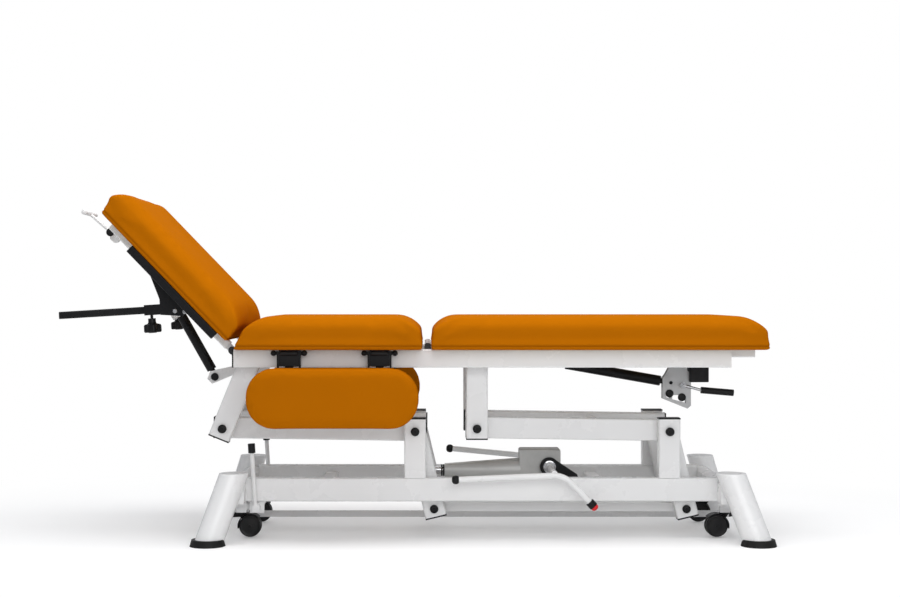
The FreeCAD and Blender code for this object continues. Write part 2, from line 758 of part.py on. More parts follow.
def head_ear(name, side):
    """The frame's half of a head hinge: a plate on the end cross tube with the hinge pin in it."""
    x, z = d.head_pivot_x, d.head_pivot_height
    y = side * (top_half - 18.5)
    right = hanger_x - d.cross_tube_wide / 2 - x
    low = d.top_rail_bottom - z
    ear = polygon_plate(name + "_plate", [(-8, 8), (-12, 0), (-8, -8), (right, low),
                                          (right, low + d.top_cross_tall), (8, 8), (0, 12)], 8,
                        at(x, y, z))
    pin = rod(name + "_pin", "5", "18", between(Vector(x, y, z), Vector(x, side * top_half, z)))
    cap = rod(name + "_cap", "11", "5.5", between(Vector(x, side * (top_half - 5.8), z),
                                                Vector(x, side * top_half, z)))
    return join(name, [ear, pin, cap])


def leg_ear(name, side):
    """The frame's half of a leg hinge: a plate on the rail's inner face with its pin."""
    x, z = d.leg_pivot_x, d.leg_pivot_height
    y = side * (top_half - 2.2)
    ear = polygon_plate(name + "_plate", [(-9, 5), (-9, -30), (9, -30), (9, 5), (4, 9), (-4, 9)],
                        4.4, at(x, y, z))
    pin = rod(name + "_pin", "5", "17", between(Vector(x, side * (top_half - 1), z), Vector(x, 0, z)))
    return join(name, [ear, pin])


node("hinge_brackets", stay_ears + mirrored(head_ear, "head_ear") + mirrored(leg_ear, "leg_ear"))


def hanger(name, top_x, pin, side):
    """A post under the upper frame that an arm's outer end is bolted to."""
    top = Vector(top_x, side * rail_side, d.top_rail_bottom)
    foot = Vector(pin.x, side * rail_side, pin.z)
    lean = math.degrees(math.atan2(foot.x - top.x, top.z - foot.z))
    reach = top.sub(foot).Length
    spare = 40
    place = Placement(foot, Rotation(AXIS["y"], 90 + lean))
    post_tube = tube(name + "_tube", "%g + hanger_end" % (reach + spare), "rail_thick", "post_wide",
                     place * Placement(Vector(-reach - spare, 0, 0), Rotation()))
    above = block(name + "_above", "400", "100", "100", at(top.x, top.y, d.top_rail_bottom),
                  (0.5, 0.5, 0))
    return cut(name, post_tube, [above, pivot_hole(name + "_hole", pin, side)])


hangers_set = []
frame_caps = []
for end, top_x, pin in (("left", hanger_x, left_top_pin), ("right", right_top_pin.x, right_top_pin)):
    for side in (-1, 1):
        name = "%s_hanger_%d" % (end, side + 2)
        hangers_set.append(hanger(name, top_x, pin, side))
        lean = math.degrees(math.atan2(pin.x - top_x, d.top_rail_bottom - pin.z))
        place = Placement(Vector(pin.x, side * rail_side, pin.z), Rotation(AXIS["y"], 90 + lean))
        low_plug = plug(name + "_plug", "rail_thick", "post_wide",
                        place * Placement(Vector(d.hanger_end, 0, 0), Rotation()))
        frame_caps.append(cut(name + "_plug_cut", low_plug,
                              [pivot_hole(name + "_plug_hole", pin, side)]))
        frame_caps.append(pivot_bolt(name + "_bolt", pin, side, bolt_reach))
node("hanging_posts", hangers_set)
for side in (-1, 1):
    y = side * top_rail_side
    z = d.top_rail_bottom + d.top_rail_tall / 2
    frame_caps.append(plug("upper_left_plug_%d" % (side + 2), "top_rail_thick", "top_rail_tall",
                           at(d.top_rail_left, y, z, "z", 180)))
    frame_caps.append(plug("upper_right_plug_%d" % (side + 2), "top_rail_thick", "top_rail_tall",
                           at(d.top_rail_right, y, z)))
node("upper_plugs_and_bolts", frame_caps)


# Armrest clamps on the side rails, with their cross pins
def clamp(name, x, side):
    pin_y = side * d.clamp_pin_side
    face = side * (d.top_rail_face + d.gap)
    middle_y = face + side * d.clamp_deep / 2
    low = d.top_rail_bottom + 5
    body = block(name + "_body", "clamp_wide", "clamp_deep", "clamp_tall",
                 at(x, middle_y, low), (0.5, 0.5, 0))
    lug = block(name + "_lug", "clamp_wide * 0.4", "clamp_deep * 0.6", "14",
                at(x, face + side * d.clamp_deep * 0.3, low - 8), (0.5, 0.5, 0))
    half = d.clamp_wide / 2 + 15
    left_end = Vector(x - half, pin_y, d.clamp_pin_height)
    right_end = Vector(x + half, pin_y, d.clamp_pin_height)
    pin = rod(name + "_pin", "clamp_pin_radius", "%g" % (2 * half), between(left_end, right_end))
    return join(name, [body, lug, pin, ball(name + "_ball_left", "clamp_ball_radius", left_end),
                       ball(name + "_ball_right", "clamp_ball_radius", right_end)])


clamps = []
for number, x in enumerate((d.clamp_first, d.clamp_second)):
    for side in (-1, 1):
        clamps.append(clamp("armrest_clamp_%d_%d" % (number, side + 2), x, side))
node("armrest_clamps", clamps)


def armrest_arms(name, side):
    """Four hanging straps, two at each clamp, that turn on the cross pins and hold the pad."""
    pieces = []
    pin_y, pin_z = side * d.clamp_pin_side, d.clamp_pin_height
    back = side * (d.armrest_face - d.armrest_thick)
    inner = side * (abs(back) - 8)
    outline = [(pin_y - side * 7, pin_z + 6), (pin_y + side * 7, pin_z + 6),
               (pin_y + side * 7, pin_z - 41), (back, pin_z - 50), (back, pin_z - 120),
               (inner, pin_z - 120), (inner, pin_z - 54), (pin_y - side * 7, pin_z - 45)]
    for number, x in enumerate((d.clamp_first, d.clamp_second)):
        for hand in (-1, 1):
            left = x + hand * (d.clamp_wide / 2 + 0.5 + d.armrest_arm_thick / 2)
            strap = doc.addObject("Part::Feature", "%s_%d_%d" % (name, number, hand + 2))
            corners = [Vector(0, y, z) for y, z in outline]
            face = Part.Face(Part.makePolygon(corners + corners[:1]))
            strap.Shape = face.extrude(Vector(d.armrest_arm_thick, 0, 0))
            strap.Placement = at(left - d.armrest_arm_thick / 2)
            hole = rod("%s_hole_%d_%d" % (name, number, hand + 2),
                       "clamp_pin_radius + pin_clearance", "12",
                       Placement(Vector(left, pin_y, pin_z), Rotation(AXIS["y"], 90)), 0.5)
            pieces.append(cut("%s_strap_%d_%d" % (name, number, hand + 2), strap, [hole]))
    return pieces


def armrest_pad(name, side):
    y = side * (d.armrest_face - d.armrest_thick / 2 + d.gap)
    pad = block(name + "_block", "armrest_right - armrest_left", "armrest_thick", "armrest_tall",
                at(d.armrest_left, y, d.armrest_top - d.armrest_tall), (0, 0.5, 0))
    rounded = doc.addObject("Part::Fillet", name)
    rounded.Base = pad
    rounded.Edges = [(edge, d.armrest_corner, d.armrest_corner) for edge in (2, 4, 6, 8)]
    return rounded


node("near_armrest_arms", armrest_arms("near_arm", -1))
node("far_armrest_arms", armrest_arms("far_arm", 1))
node("near_armrest_pad", [armrest_pad("near_pad", -1)])
node("far_armrest_pad", [armrest_pad("far_pad", 1)])


# Padded sections: a plywood board and an upholstered pad whose ends roll over
def board(name, length, x, z, place=None):
    return block(name, length, "2 * pad_half_width - 20", "board_thick",
                 place or at(x, 0, z), (0, 0.5, 0))


def rolled_pad(name, length, left_roll, right_roll, slant=0.0):
    """A pad from x = 0 to its length on z = 0, with rolled ends and rounded long edges."""
    tall, low = d.pad_thick, d.pad_thick - d.pad_shoulder

    def roll_middle(roll):
        """How far in and up the middle of a rolled corner's arc lies."""
        radius = (roll ** 2 + d.pad_shoulder ** 2) / (2 * d.pad_shoulder)
        turn = math.asin(roll / radius) / 2
        return roll - radius * math.sin(turn), tall - radius + radius * math.cos(turn)

    in_left, up_left = roll_middle(left_roll)
    in_right, up_right = roll_middle(right_roll)
    points = [Vector(0, 0, 0), Vector(slant, 0, low), Vector(slant + in_left, 0, up_left),
              Vector(slant + left_roll, 0, tall), Vector(length - right_roll, 0, tall),
              Vector(length - in_right, 0, up_right), Vector(length, 0, low), Vector(length, 0, 0)]
    edges = [Part.makeLine(points[0], points[1]),
             Part.Arc(points[1], points[2], points[3]).toShape(),
             Part.makeLine(points[3], points[4]),
             Part.Arc(points[4], points[5], points[6]).toShape(),
             Part.makeLine(points[6], points[7]), Part.makeLine(points[7], points[0])]
    half = d.pad_half_width
    side_view = doc.addObject("Part::Feature", name + "_side_view")
    solid = Part.Face(Part.Wire(edges)).extrude(Vector(0, 2 * half, 0))
    solid.translate(Vector(0, -half, 0))
    side_view.Shape = solid
    end_view = block(name + "_end_view", "%g" % length, "2 * pad_half_width", "pad_thick",
                     Placement(), (0, 0.5, 0))
    rounded = doc.addObject("Part::Fillet", name + "_edges")
    rounded.Base = end_view
    rounded.Edges = [(edge, d.pad_side_round, d.pad_side_round) for edge in (10, 12)]
    item = doc.addObject("Part::Common", name)
    item.Base = side_view
    item.Tool = rounded
    return item


seat_long = d.seat_right - d.seat_left
node("seat_board", [board("seat_board", "seat_right - seat_left - 8", d.seat_left + 4,
                          d.deck_height)])
seat_pad = rolled_pad("seat_pad", seat_long, d.pad_roll, d.pad_roll, d.seat_slant)
seat_pad.Placement = at(d.seat_left, 0, d.deck_height + d.board_thick)
node("seat_cushion", [seat_pad])

leg_long = d.leg_right - d.leg_left
node("leg_board", [board("leg_board", "leg_right - leg_left - 28", d.leg_left + 8, d.deck_height)])
leg_pad = rolled_pad("leg_pad", leg_long, d.pad_roll, d.leg_end_roll)
leg_pad.Placement = at(d.leg_left, 0, d.deck_height + d.board_thick)
node("leg_cushion", [leg_pad])

# Head section, drawn flat with its hinge at the origin and -X outwards, then raised
head_place = at(d.head_pivot_x, 0, d.head_pivot_height, "y", d.head_angle)


def on_head(along=0.0, y=0.0, up=0.0):
    return head_place * at(-along, y, up)


def head_point(along, y, up):
    return head_place.multVec(Vector(-along, y, up))


head_pad = rolled_pad("head_pad", d.head_end - d.head_start, d.leg_end_roll, d.pad_roll)
head_pad.Placement = on_head(d.head_end, 0, d.head_lift + d.board_thick)
node("head_cushion", [head_pad])
node("head_board", [board("head_board", "head_end - head_start - 14", 0, 0,
                          on_head(d.head_end - 8, 0, d.head_lift))])

head_tube_y = d.head_tube_side - d.head_tube / 2
tube_low = d.head_lift - d.head_tube
head_pieces = []
for side in (-1, 1):
    name = "head_tube_%d" % (side + 2)
    bar = tube(name + "_bar", "head_end - 52", "head_tube", "head_tube",
               on_head(d.head_end - 34, side * head_tube_y, tube_low), (0, 0.5, 0))
    lug_y = side * (top_half - 10.3)
    lug = polygon_plate(name + "_lug_plate", [(11, 0), (7, 9), (-30, 11), (-30, -9), (7, -9)], 8,
                        head_place * at(0, lug_y, 0))
    hole = rod(name + "_lug_hole", "5 + pin_clearance", "20",
               across(d.head_pivot_x, lug_y, d.head_pivot_height), 0.5)
    head_pieces.append(cut(name, join(name + "_welded", [bar, lug]), [hole]))
for number, along in enumerate((60.0, 209.0, d.head_end - 46)):
    head_pieces.append(tube("head_cross_%d" % number, "2 * head_tube_side - 2 * head_tube",
                            "head_tube", "head_tube",
                            on_head(along, -d.head_tube_side + d.head_tube, tube_low)
                            * Placement(Vector(), Rotation(AXIS["z"], 90)), (0, 0.5, 0)))

stay_foot = Vector(d.stay_foot_x, 0, d.stay_foot_height)
stay_grip = Vector(d.stay_grip_x, 0, d.stay_grip_height)
stay_run = stay_grip.sub(stay_foot)
stay_place = between(stay_foot, stay_grip)
grip_half = d.stay_radius + d.stay_slack + 4
grip_place = Placement(stay_grip, stay_place.Rotation)
guide = block("stay_guide_block", "%g" % (2 * grip_half), "2 * stay_radius + 2 * gap + 8", "20",
              grip_place, (0.5, 0.5, 0.5))
flat_rel = head_place.inverse().multVec(stay_grip)
guide_neck = block("stay_guide_neck", "26", "2 * stay_radius + 2 * gap + 8",
                   "%g" % (tube_low - flat_rel.z), head_place * at(flat_rel.x, 0, flat_rel.z),
                   (0.5, 0.5, 0))
channel = block("stay_channel", "2 * stay_radius + 2 * stay_slack", "2 * stay_radius + 2 * gap",
                "400", grip_place, (0.5, 0.5, 0.5))
head_pieces.append(cut("stay_guide", join("stay_guide_outside", [guide, guide_neck]), [channel]))

tee_at = (d.tee_pivot, d.tee_drop)
for side in (-1, 1):
    name = "tee_ear_%d" % (side + 2)
    ear = polygon_plate(name + "_plate", [(14, tube_low), (-13, tube_low), (-13, -tee_at[1] - 9),
                                          (-8, -tee_at[1] - 14), (8, -tee_at[1] - 14),
                                          (14, -tee_at[1] - 6)], 4,
                        head_place * at(-tee_at[0] + 20, side * 9, 0))
    ear_hole = rod(name + "_hole", "tee_rod_radius + pin_clearance", "20",
                   Placement(head_point(tee_at[0], side * 9, -tee_at[1]),
                             Rotation(Vector(1, 0, 0), -90)), 0.5)
    head_pieces.append(cut(name, ear, [ear_hole]))
node("head_frame", head_pieces)


def head_side_rail(name, side):
    return tube(name, "side_rail_end - side_rail_start", "head_tube", "side_rail_tall",
                on_head(d.side_rail_end, side * (d.side_rail_face - d.head_tube / 2),
                        d.head_lift - d.side_rail_tall), (0, 0.5, 0))


node("head_side_rails", mirrored(head_side_rail, "head_side_rail"))

# Head stay: a bar hinged on the frame that slides through its guide under the head section
stay_bar = rod("stay_bar", "stay_radius", "%g" % (stay_run.Length - 23 + 8),
               stay_place * at(0, 0, 23))
stay_neck = rod("stay_neck", "stay_neck_radius", "24", stay_place)
stay_hub = rod("stay_hub", "stay_neck_radius + 3", "2 * stay_radius",
               across(stay_foot.x, 0, stay_foot.z), 0.5)
stay_pin = rod("stay_pin", "stay_neck_radius", "2 * stay_radius + 20",
               across(stay_foot.x, 0, stay_foot.z), 0.5)
stay_caps = []
for side in (-1, 1):
    stay_caps.append(rod("stay_cap_%d" % (side + 2), "stay_neck_radius + 3", "4",
                         across(stay_foot.x, side * (d.stay_radius + 9.3), stay_foot.z), 0.5))
node("head_stay", [stay_bar, stay_neck, stay_hub, stay_pin] + stay_caps, fused=True)

tee_pivot = head_point(d.tee_pivot, 0, -d.tee_drop)
tee_end = head_point(d.tee_pivot + d.tee_reach, 0, -d.tee_drop - 7)
tee_pieces = [rod("tee_hub", "tee_rod_radius + 4", "13", across(tee_pivot.x, 0, tee_pivot.z), 0.5),
              rod("tee_pin", "tee_rod_radius", "30", across(tee_pivot.x, 0, tee_pivot.z), 0.5),
              bar_between("tee_stem", tee_pivot, tee_end, "tee_rod_radius"),
              rod("tee_bar", "tee_rod_radius + 1.5", "tee_width",
                  across(tee_end.x, 0, tee_end.z), 0.5)]
for side in (-1, 1):
    tee_pieces.append(rod("tee_cap_%d" % (side + 2), "11", "3.5",
                          across(tee_pivot.x, side * 13.3, tee_pivot.z), 0.5))
node("tee_handle", tee_pieces, fused=True)


# Extension bars in their sleeves, and the star knobs that hold them
def bar_place(side, along=0.0, up=0.0):
    return (at(d.bar_tip_x, side * d.bar_side, d.bar_tip_height, "y", -d.bar_slope)
            * at(along, 0, up))


def sleeve(name, side):
    hollow = "bar_size + 2 * bar_clearance"
    outer = block(name + "_outside", "sleeve_long", "%s + 2 * sleeve_wall" % hollow,
                  "%s + 2 * sleeve_wall" % hollow, bar_place(side, d.sleeve_from_tip))
    bore = block(name + "_bore", "sleeve_long + 120", hollow, hollow,
                 bar_place(side, d.sleeve_from_tip - 60))
    hole = rod(name + "_hole", "4 + pin_clearance", "40",
               bar_place(side, d.sleeve_from_tip + 17, -30))
    plate_y = side * (d.bar_side + d.bar_size / 2 + d.bar_clearance + d.sleeve_wall - 2)
    top = d.head_lift - d.gap
    plate = polygon_plate(name + "_plate", [(-310, top), (-310, -12), (-238, -42), (-205, -70),
                                            (-160, -28), (-170, top)], 4,
                          head_place * at(0, plate_y, 0))
    return cut(name, join(name + "_welded", [outer, plate]), [bore, hole])


node("bar_sleeves", mirrored(sleeve, "bar_sleeve"))


def extension_bar(name, side):
    return tube(name, "bar_long", "bar_size", "bar_size", bar_place(side))


def star_knob(name, side):
    """A five-lobed knob on a threaded stem: a disc with lobes round it."""
    top = d.bar_size / 2 + d.bar_clearance + d.sleeve_wall + d.knob_drop
    place = bar_place(side, d.sleeve_from_tip + 17, -top - d.knob_thick)
    pieces = [rod(name + "_disc", "knob_radius - 7", "knob_thick", place),
              rod(name + "_collar", "8", "knob_drop", place * at(0, 0, d.knob_thick)),
              rod(name + "_stem", "4", "%g" % (top + d.knob_thick - d.bar_size / 2 - 0.4), place)]
    for lobe in range(5):
        turn = Placement(Vector(), Rotation(AXIS["z"], 72 * lobe))
        pieces.append(rod("%s_lobe_%d" % (name, lobe), "7.5", "knob_thick",
                          place * turn * at(d.knob_radius - 7.5)))
    return join(name, pieces)


node("near_extension_bar", [extension_bar("near_bar", -1)])
node("far_extension_bar", [extension_bar("far_bar", 1)])
node("near_star_knob", [star_knob("near_knob", -1)])
node("far_star_knob", [star_knob("far_knob", 1)])

# Leg section frame
leg_tube_y = d.leg_tube_side - d.leg_tube_wide / 2
leg_low = d.deck_height - d.leg_tube_tall
leg_pieces = []
for side in (-1, 1):
    name = "leg_tube_%d" % (side + 2)
    bar = tube(name + "_bar", "leg_tube_right - leg_left - 8", "leg_tube_wide", "leg_tube_tall",
               at(d.leg_left + 8, side * leg_tube_y, leg_low), (0, 0.5, 0))
    lug_y = side * (top_half - 4.7 - 4)
    lug = polygon_plate(name + "_lug_plate", [(-9, 3), (-9, -4), (-3, -9), (30, -28), (30, -8),
                                              (10, -7.5), (9, 4), (4, 9), (-4, 9)], 8,
                        at(d.leg_pivot_x, lug_y, d.leg_pivot_height))
    hole = rod(name + "_lug_hole", "5 + pin_clearance", "20",
               across(d.leg_pivot_x, lug_y, d.leg_pivot_height), 0.5)
    leg_pieces.append(cut(name, join(name + "_welded", [bar, lug]), [hole]))
spring_left = Vector(d.spring_left_x, 0, d.spring_left_height)
spring_right = Vector(d.spring_right_x, 0, d.spring_right_height)
for number, x in enumerate((d.leg_left + 25, d.spring_left_x, d.leg_tube_right - 13)):
    leg_pieces.append(tube("leg_cross_%d" % number, "2 * leg_tube_side - 2 * leg_tube_wide",
                           "leg_tube_wide", "leg_tube_tall",
                           at(x, -d.leg_tube_side + d.leg_tube_wide, leg_low, "z", 90),
                           (0, 0.5, 0)))
for side in (-1, 1):
    name = "spring_ear_%d" % (side + 2)
    up = leg_low - d.spring_left_height
    ear = polygon_plate(name + "_plate", [(-12, up), (-9, -5), (-4, -9), (4, -9), (9, -5),
                                          (12, up)], 4, at(d.spring_left_x, side * 8, spring_left.z))
    hole = rod(name + "_hole", "4 + pin_clearance", "20", across(spring_left.x, side * 8,
                                                                 spring_left.z), 0.5)
    leg_pieces.append(cut(name, ear, [hole]))
node("leg_frame", leg_pieces)

# Lockable gas spring, its cast bracket and the release lever
spring_place = between(spring_right, spring_left)
spring_run = spring_left.sub(spring_right).Length
spring_pieces = [rod("spring_wall", "spring_tube_radius", "spring_tube_long",
                     spring_place * at(0, 0, d.spring_neck)),
                 rod("spring_neck", "7.5", "spring_neck + 2", spring_place),
                 rod("spring_eye", "10", "16", across(spring_right.x, 0, spring_right.z), 0.5),
                 rod("spring_eye_pin", "5", "30", across(spring_right.x, 0, spring_right.z), 0.5)]
spring_bore = rod("spring_bore", "spring_bore_radius", "spring_tube_long",
                  spring_place * at(0, 0, d.spring_neck + 30))
node("leg_spring_tube", [cut("spring_tube", join("spring_tube_outside", spring_pieces),
                             [spring_bore])])
rod_place = between(spring_left, spring_right)
node("leg_spring_rod", [rod("spring_rod", "spring_rod_radius", "spring_rod_long", rod_place),
                        rod("rod_eye", "7", "11", across(spring_left.x, 0, spring_left.z), 0.5),
                        rod("rod_pin", "4", "26", across(spring_left.x, 0, spring_left.z), 0.5)],
     fused=True)

fx, fz = d.spring_right_x, d.spring_right_height
up = d.top_rail_bottom - fz
casting = polygon_plate("casting_plate", [(0, up), (40, up), (48, 34), (58, 28), (58, -66),
                                          (48, -75), (-24, -46), (-24, 14), (-16, 24)],
                        d.casting_thick, at(fx, 0, fz))
casting_cuts = [block("casting_slot", "40", "16.6", "60", at(fx - 25, 0, fz - 14), (0, 0.5, 0)),
                rod("casting_pin_hole", "5 + pin_clearance", "40", across(fx, 0, fz), 0.5),
                rod("casting_lever_hole", "5 + pin_clearance", "40",
                    across(fx + 34, 0, fz - 7), 0.5),
                polygon_plate("casting_window_small", [(-13, -27), (-2, -27), (-2, -46), (-13, -42)],
                              40, at(fx, 0, fz)),
                polygon_plate("casting_window", [(4, -36), (44, -36), (44, -59), (4, -48)], 40,
                              at(fx, 0, fz))]
node("spring_casting", [cut("casting", casting, casting_cuts)])

lever_y = -d.casting_thick / 2 - 4
lever_hub = Vector(fx + 34, lever_y, fz - 7)
lever_bend = Vector(fx + 86, lever_y, fz - 21)
lever_tip = lever_bend.add(Vector(d.grip_long, 0, -8))
hub_back = Vector(lever_hub.x, -2, lever_hub.z)
node("leg_release_lever", [rod("release_hub", "9", "7", across(lever_hub.x, lever_y, lever_hub.z),
                               0.5),
                           rod("release_pin", "5", "%g" % hub_back.sub(lever_hub).Length,
                               between(lever_hub, hub_back)),
                           bar_between("release_rod", lever_hub, lever_bend, "4"),
                           bar_between("release_core", lever_bend, lever_tip, "4")], fused=True)
grip = rod("release_grip_outside", "grip_radius", "grip_long", between(lever_bend, lever_tip))
grip_bore = rod("release_grip_bore", "4 + pin_clearance", "grip_long + 0.5",
                between(lever_bend.sub(Vector(0.2, 0, 0)), lever_tip))
node("leg_release_grip", [cut("release_grip", grip, [grip_bore])])


# Castors: a rocking shaft at each end carries two sockets; the link bar joins both shafts
def castor_rocker(end, shaft_x, half):
    z = d.castor_shaft_height
    pieces = [rod(end + "_shaft", "castor_shaft_radius", "2 * %s" % half,
                  across(shaft_x, 0, z), 0.5)]
    holes = []
    for side in (-1, 1):
        name = "%s_socket_%d" % (end, side + 2)
        x, y = shaft_x - d.castor_offset, side * d.castor_side
        pieces.append(block(name, "castor_block", "castor_block", "32", at(x, y, z - 17),
                            (0.5, 0.5, 0)))
        pieces.append(block(name + "_arm", "castor_offset", "20", "18", at(x, y, z)))
        holes.append(rod(name + "_hole", "stem_radius + pin_clearance", "30", at(x, y, z - 17.5)))
        if end == "left":
            foot = Vector(shaft_x - 2, side * d.lever_side, z)
            top = Vector(shaft_x - 13, side * d.lever_side, d.lever_top)
            pieces.append(bar_between("foot_lever_%d" % (side + 2), foot, top, "lever_rod_radius"))
    plate = polygon_plate(end + "_crank_plate", [(-9, 12), (9, 12), (-6, -52), (-24, -52)], 6,
                          at(shaft_x, 8, z))
    pin = rod(end + "_link_pin", "5", "17",
              across(shaft_x - d.crank_back, -6.5, z - d.crank_drop))
    body = join(end + "_rocker_body", pieces + [plate, pin])
    node(end + "_castor_rocker", [cut(end + "_rocker", body, holes)])


castor_rocker("left", d.castor_shaft_left, "castor_shaft_half")
castor_rocker("right", d.castor_shaft_right, "castor_shaft_half - 22")
lever_tips = []
for side in (-1, 1):
    foot = Vector(d.castor_shaft_left - 2, side * d.lever_side, d.castor_shaft_height)
    top = Vector(d.castor_shaft_left - 13, side * d.lever_side, d.lever_top)
    up = top.sub(foot).normalize()
    outside = rod("lever_tip_%d_outside" % (side + 2), "lever_rod_radius + 4", "26",
                  between(top.sub(up * 21), top.add(up)))
    bore = rod("lever_tip_%d_bore" % (side + 2), "lever_rod_radius + pin_clearance", "24",
               between(top.sub(up * 24), top))
    lever_tips.append(cut("lever_tip_%d" % (side + 2), outside, [bore]))
node("castor_lever_tips", lever_tips)

link_left = d.castor_shaft_left - d.crank_back
link_z = d.castor_shaft_height - d.crank_drop
link_bar = block("link_bar", "castor_shaft_right - castor_shaft_left + 20", "link_thick",
                 "link_tall", at(link_left - 10, 0, link_z))
link_holes = [rod("link_hole_left", "5 + pin_clearance", "20", across(link_left, 0, link_z), 0.5),
              rod("link_hole_right", "5 + pin_clearance", "20",
                  across(d.castor_shaft_right - d.crank_back, 0, link_z), 0.5)]
node("castor_link", [cut("link", link_bar, link_holes)])


def castor(end, side, shaft_x, trail):
    """One swivelling castor: its stem and fork, and its twin wheels on one axle."""
    label = "%s_%s_castor" % ("near" if side < 0 else "far", end)
    stem_x, y = shaft_x - d.castor_offset, side * d.castor_side
    plate_z = d.castor_shaft_height - 17 - 4.3
    wheel = Vector(stem_x + trail, y, d.wheel_height)
    cheek = polygon_plate(label + "_cheek",
                          [(-12, plate_z - wheel.z + 1), (12, plate_z - wheel.z + 1),
                           (trail + 9, 3), (trail, -9), (trail - 10, -2)]
                          if trail > 0 else
                          [(12, plate_z - wheel.z + 1), (-12, plate_z - wheel.z + 1),
                           (trail - 9, 3), (trail, -9), (trail + 10, -2)],
                          7, at(stem_x, y, wheel.z))
    node(label + "_fork", [cheek,
                           rod(label + "_plate", "15", "4", at(stem_x, y, plate_z)),
                           rod(label + "_stem", "stem_radius", "28", at(stem_x, y, plate_z + 1)),
                           rod(label + "_axle", "axle_radius", "2 * wheel_wide + 11",
                               across(wheel.x, y, wheel.z), 0.5)], fused=True)
    discs = []
    for hand in (-1, 1):
        name = "%s_wheel_%d" % (label, hand + 2)
        middle = y + hand * (4 + d.wheel_wide / 2)
        disc = rod(name + "_disc", "wheel_radius", "wheel_wide", across(wheel.x, middle, wheel.z), 0.5)
        bore = rod(name + "_bore", "axle_radius + pin_clearance", "30",
                   across(wheel.x, middle, wheel.z), 0.5)
        discs.append(cut(name, disc, [bore]))
    node(label + "_wheels", discs)


for side in (-1, 1):
    castor("left", side, d.castor_shaft_left, d.wheel_trail)
    castor("right", side, d.castor_shaft_right, -d.wheel_trail)


doc.recompute()
faults = []
for item in doc.Objects:
    if "Invalid" in item.State or "Error" in item.State:
        faults.append("%s: %s" % (item.Name, item.State))
for item in nodes:
    if item.Shape.isNull() or not item.Shape.isValid():
        faults.append("%s has no valid shape" % item.Label)
if faults:
    raise RuntimeError("; ".join(faults))

os.makedirs("parts", exist_ok=True)
for item in nodes:
    item.Shape.exportStep("parts/%s.step" % item.Label)
    print(item.Label, len(item.Shape.Solids), round(item.Shape.Volume))
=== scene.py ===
import math

import bpy
import numpy as np
from mathutils import Matrix, Vector


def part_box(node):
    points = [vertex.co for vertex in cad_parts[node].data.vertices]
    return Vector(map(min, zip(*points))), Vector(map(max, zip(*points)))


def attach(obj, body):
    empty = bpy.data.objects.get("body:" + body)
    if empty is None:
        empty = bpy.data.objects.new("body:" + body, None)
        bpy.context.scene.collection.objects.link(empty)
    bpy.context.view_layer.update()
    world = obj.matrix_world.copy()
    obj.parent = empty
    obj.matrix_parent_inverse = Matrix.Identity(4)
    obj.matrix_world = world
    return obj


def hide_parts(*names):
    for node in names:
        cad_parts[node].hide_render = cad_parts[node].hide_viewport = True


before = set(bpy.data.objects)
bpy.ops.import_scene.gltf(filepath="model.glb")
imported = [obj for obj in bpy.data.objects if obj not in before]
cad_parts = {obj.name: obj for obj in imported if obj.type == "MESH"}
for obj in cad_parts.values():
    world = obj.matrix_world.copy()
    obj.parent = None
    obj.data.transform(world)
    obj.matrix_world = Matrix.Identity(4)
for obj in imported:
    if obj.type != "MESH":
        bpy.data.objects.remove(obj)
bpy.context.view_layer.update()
scene = bpy.context.scene
scene.view_settings.view_transform = "Standard"

# Camera
# It stands 4.6 m in front of the table's middle plane at the height of the deck, level and square
# to the side of the table, with a small sideways shift for the photograph's framing.
camera_data = bpy.data.cameras.new("camera")
camera_data.lens = 63.56
camera_data.sensor_width = 36.0
camera_data.shift_x = 0.0244
camera_data.shift_y = -0.0017
camera = bpy.data.objects.new("camera", camera_data)
scene.collection.objects.link(camera)
camera.location = (0.036, -4.6, 0.673)
camera.rotation_euler = (math.radians(90), 0, 0)
scene.camera = camera

# Floor, room light and lamps
# A pale seamless floor and a white room seen by the camera and in reflections. A large lamp hangs
# over the table, a softer one stands in front and a weak one behind, as in a photographer's tent.
world = bpy.data.worlds.new("room")
scene.world = world
world.use_nodes = True
room = world.node_tree
room.nodes.clear()
room_light = room.nodes.new("ShaderNodeBackground")
room_light.inputs["Color"].default_value = (0.93, 0.95, 1.0, 1)
room_light.inputs["Strength"].default_value = 0.42
room_seen = room.nodes.new("ShaderNodeBackground")
room_seen.inputs["Color"].default_value = (1, 1, 1, 1)
room_seen.inputs["Strength"].default_value = 1.0
room_path = room.nodes.new("ShaderNodeLightPath")
room_mix = room.nodes.new("ShaderNodeMixShader")
room_out = room.nodes.new("ShaderNodeOutputWorld")
room.links.new(room_path.outputs["Is Camera Ray"], room_mix.inputs["Fac"])
room.links.new(room_light.outputs["Background"], room_mix.inputs[1])
room.links.new(room_seen.outputs["Background"], room_mix.inputs[2])
room.links.new(room_mix.outputs["Shader"], room_out.inputs["Surface"])


def lamp(name, place, turn, width, height, power):
    """A rectangular soft box, turned by angles in degrees."""
    data = bpy.data.lights.new(name, "AREA")
    data.shape = "RECTANGLE"
    data.size = width
    data.size_y = height
    data.energy = power
    item = bpy.data.objects.new(name, data)
    scene.collection.objects.link(item)
    item.location = place
    item.rotation_euler = [math.radians(angle) for angle in turn]


lamp("overhead", (0.1, -0.6, 2.9), (-8, 0, 0), 3.4, 1.8, 70)
lamp("front", (0.6, -3.6, 1.7), (72, 0, 8), 3.0, 1.6, 36)
lamp("back", (-0.4, 2.8, 2.2), (-52, 0, 0), 3.0, 1.4, 22)

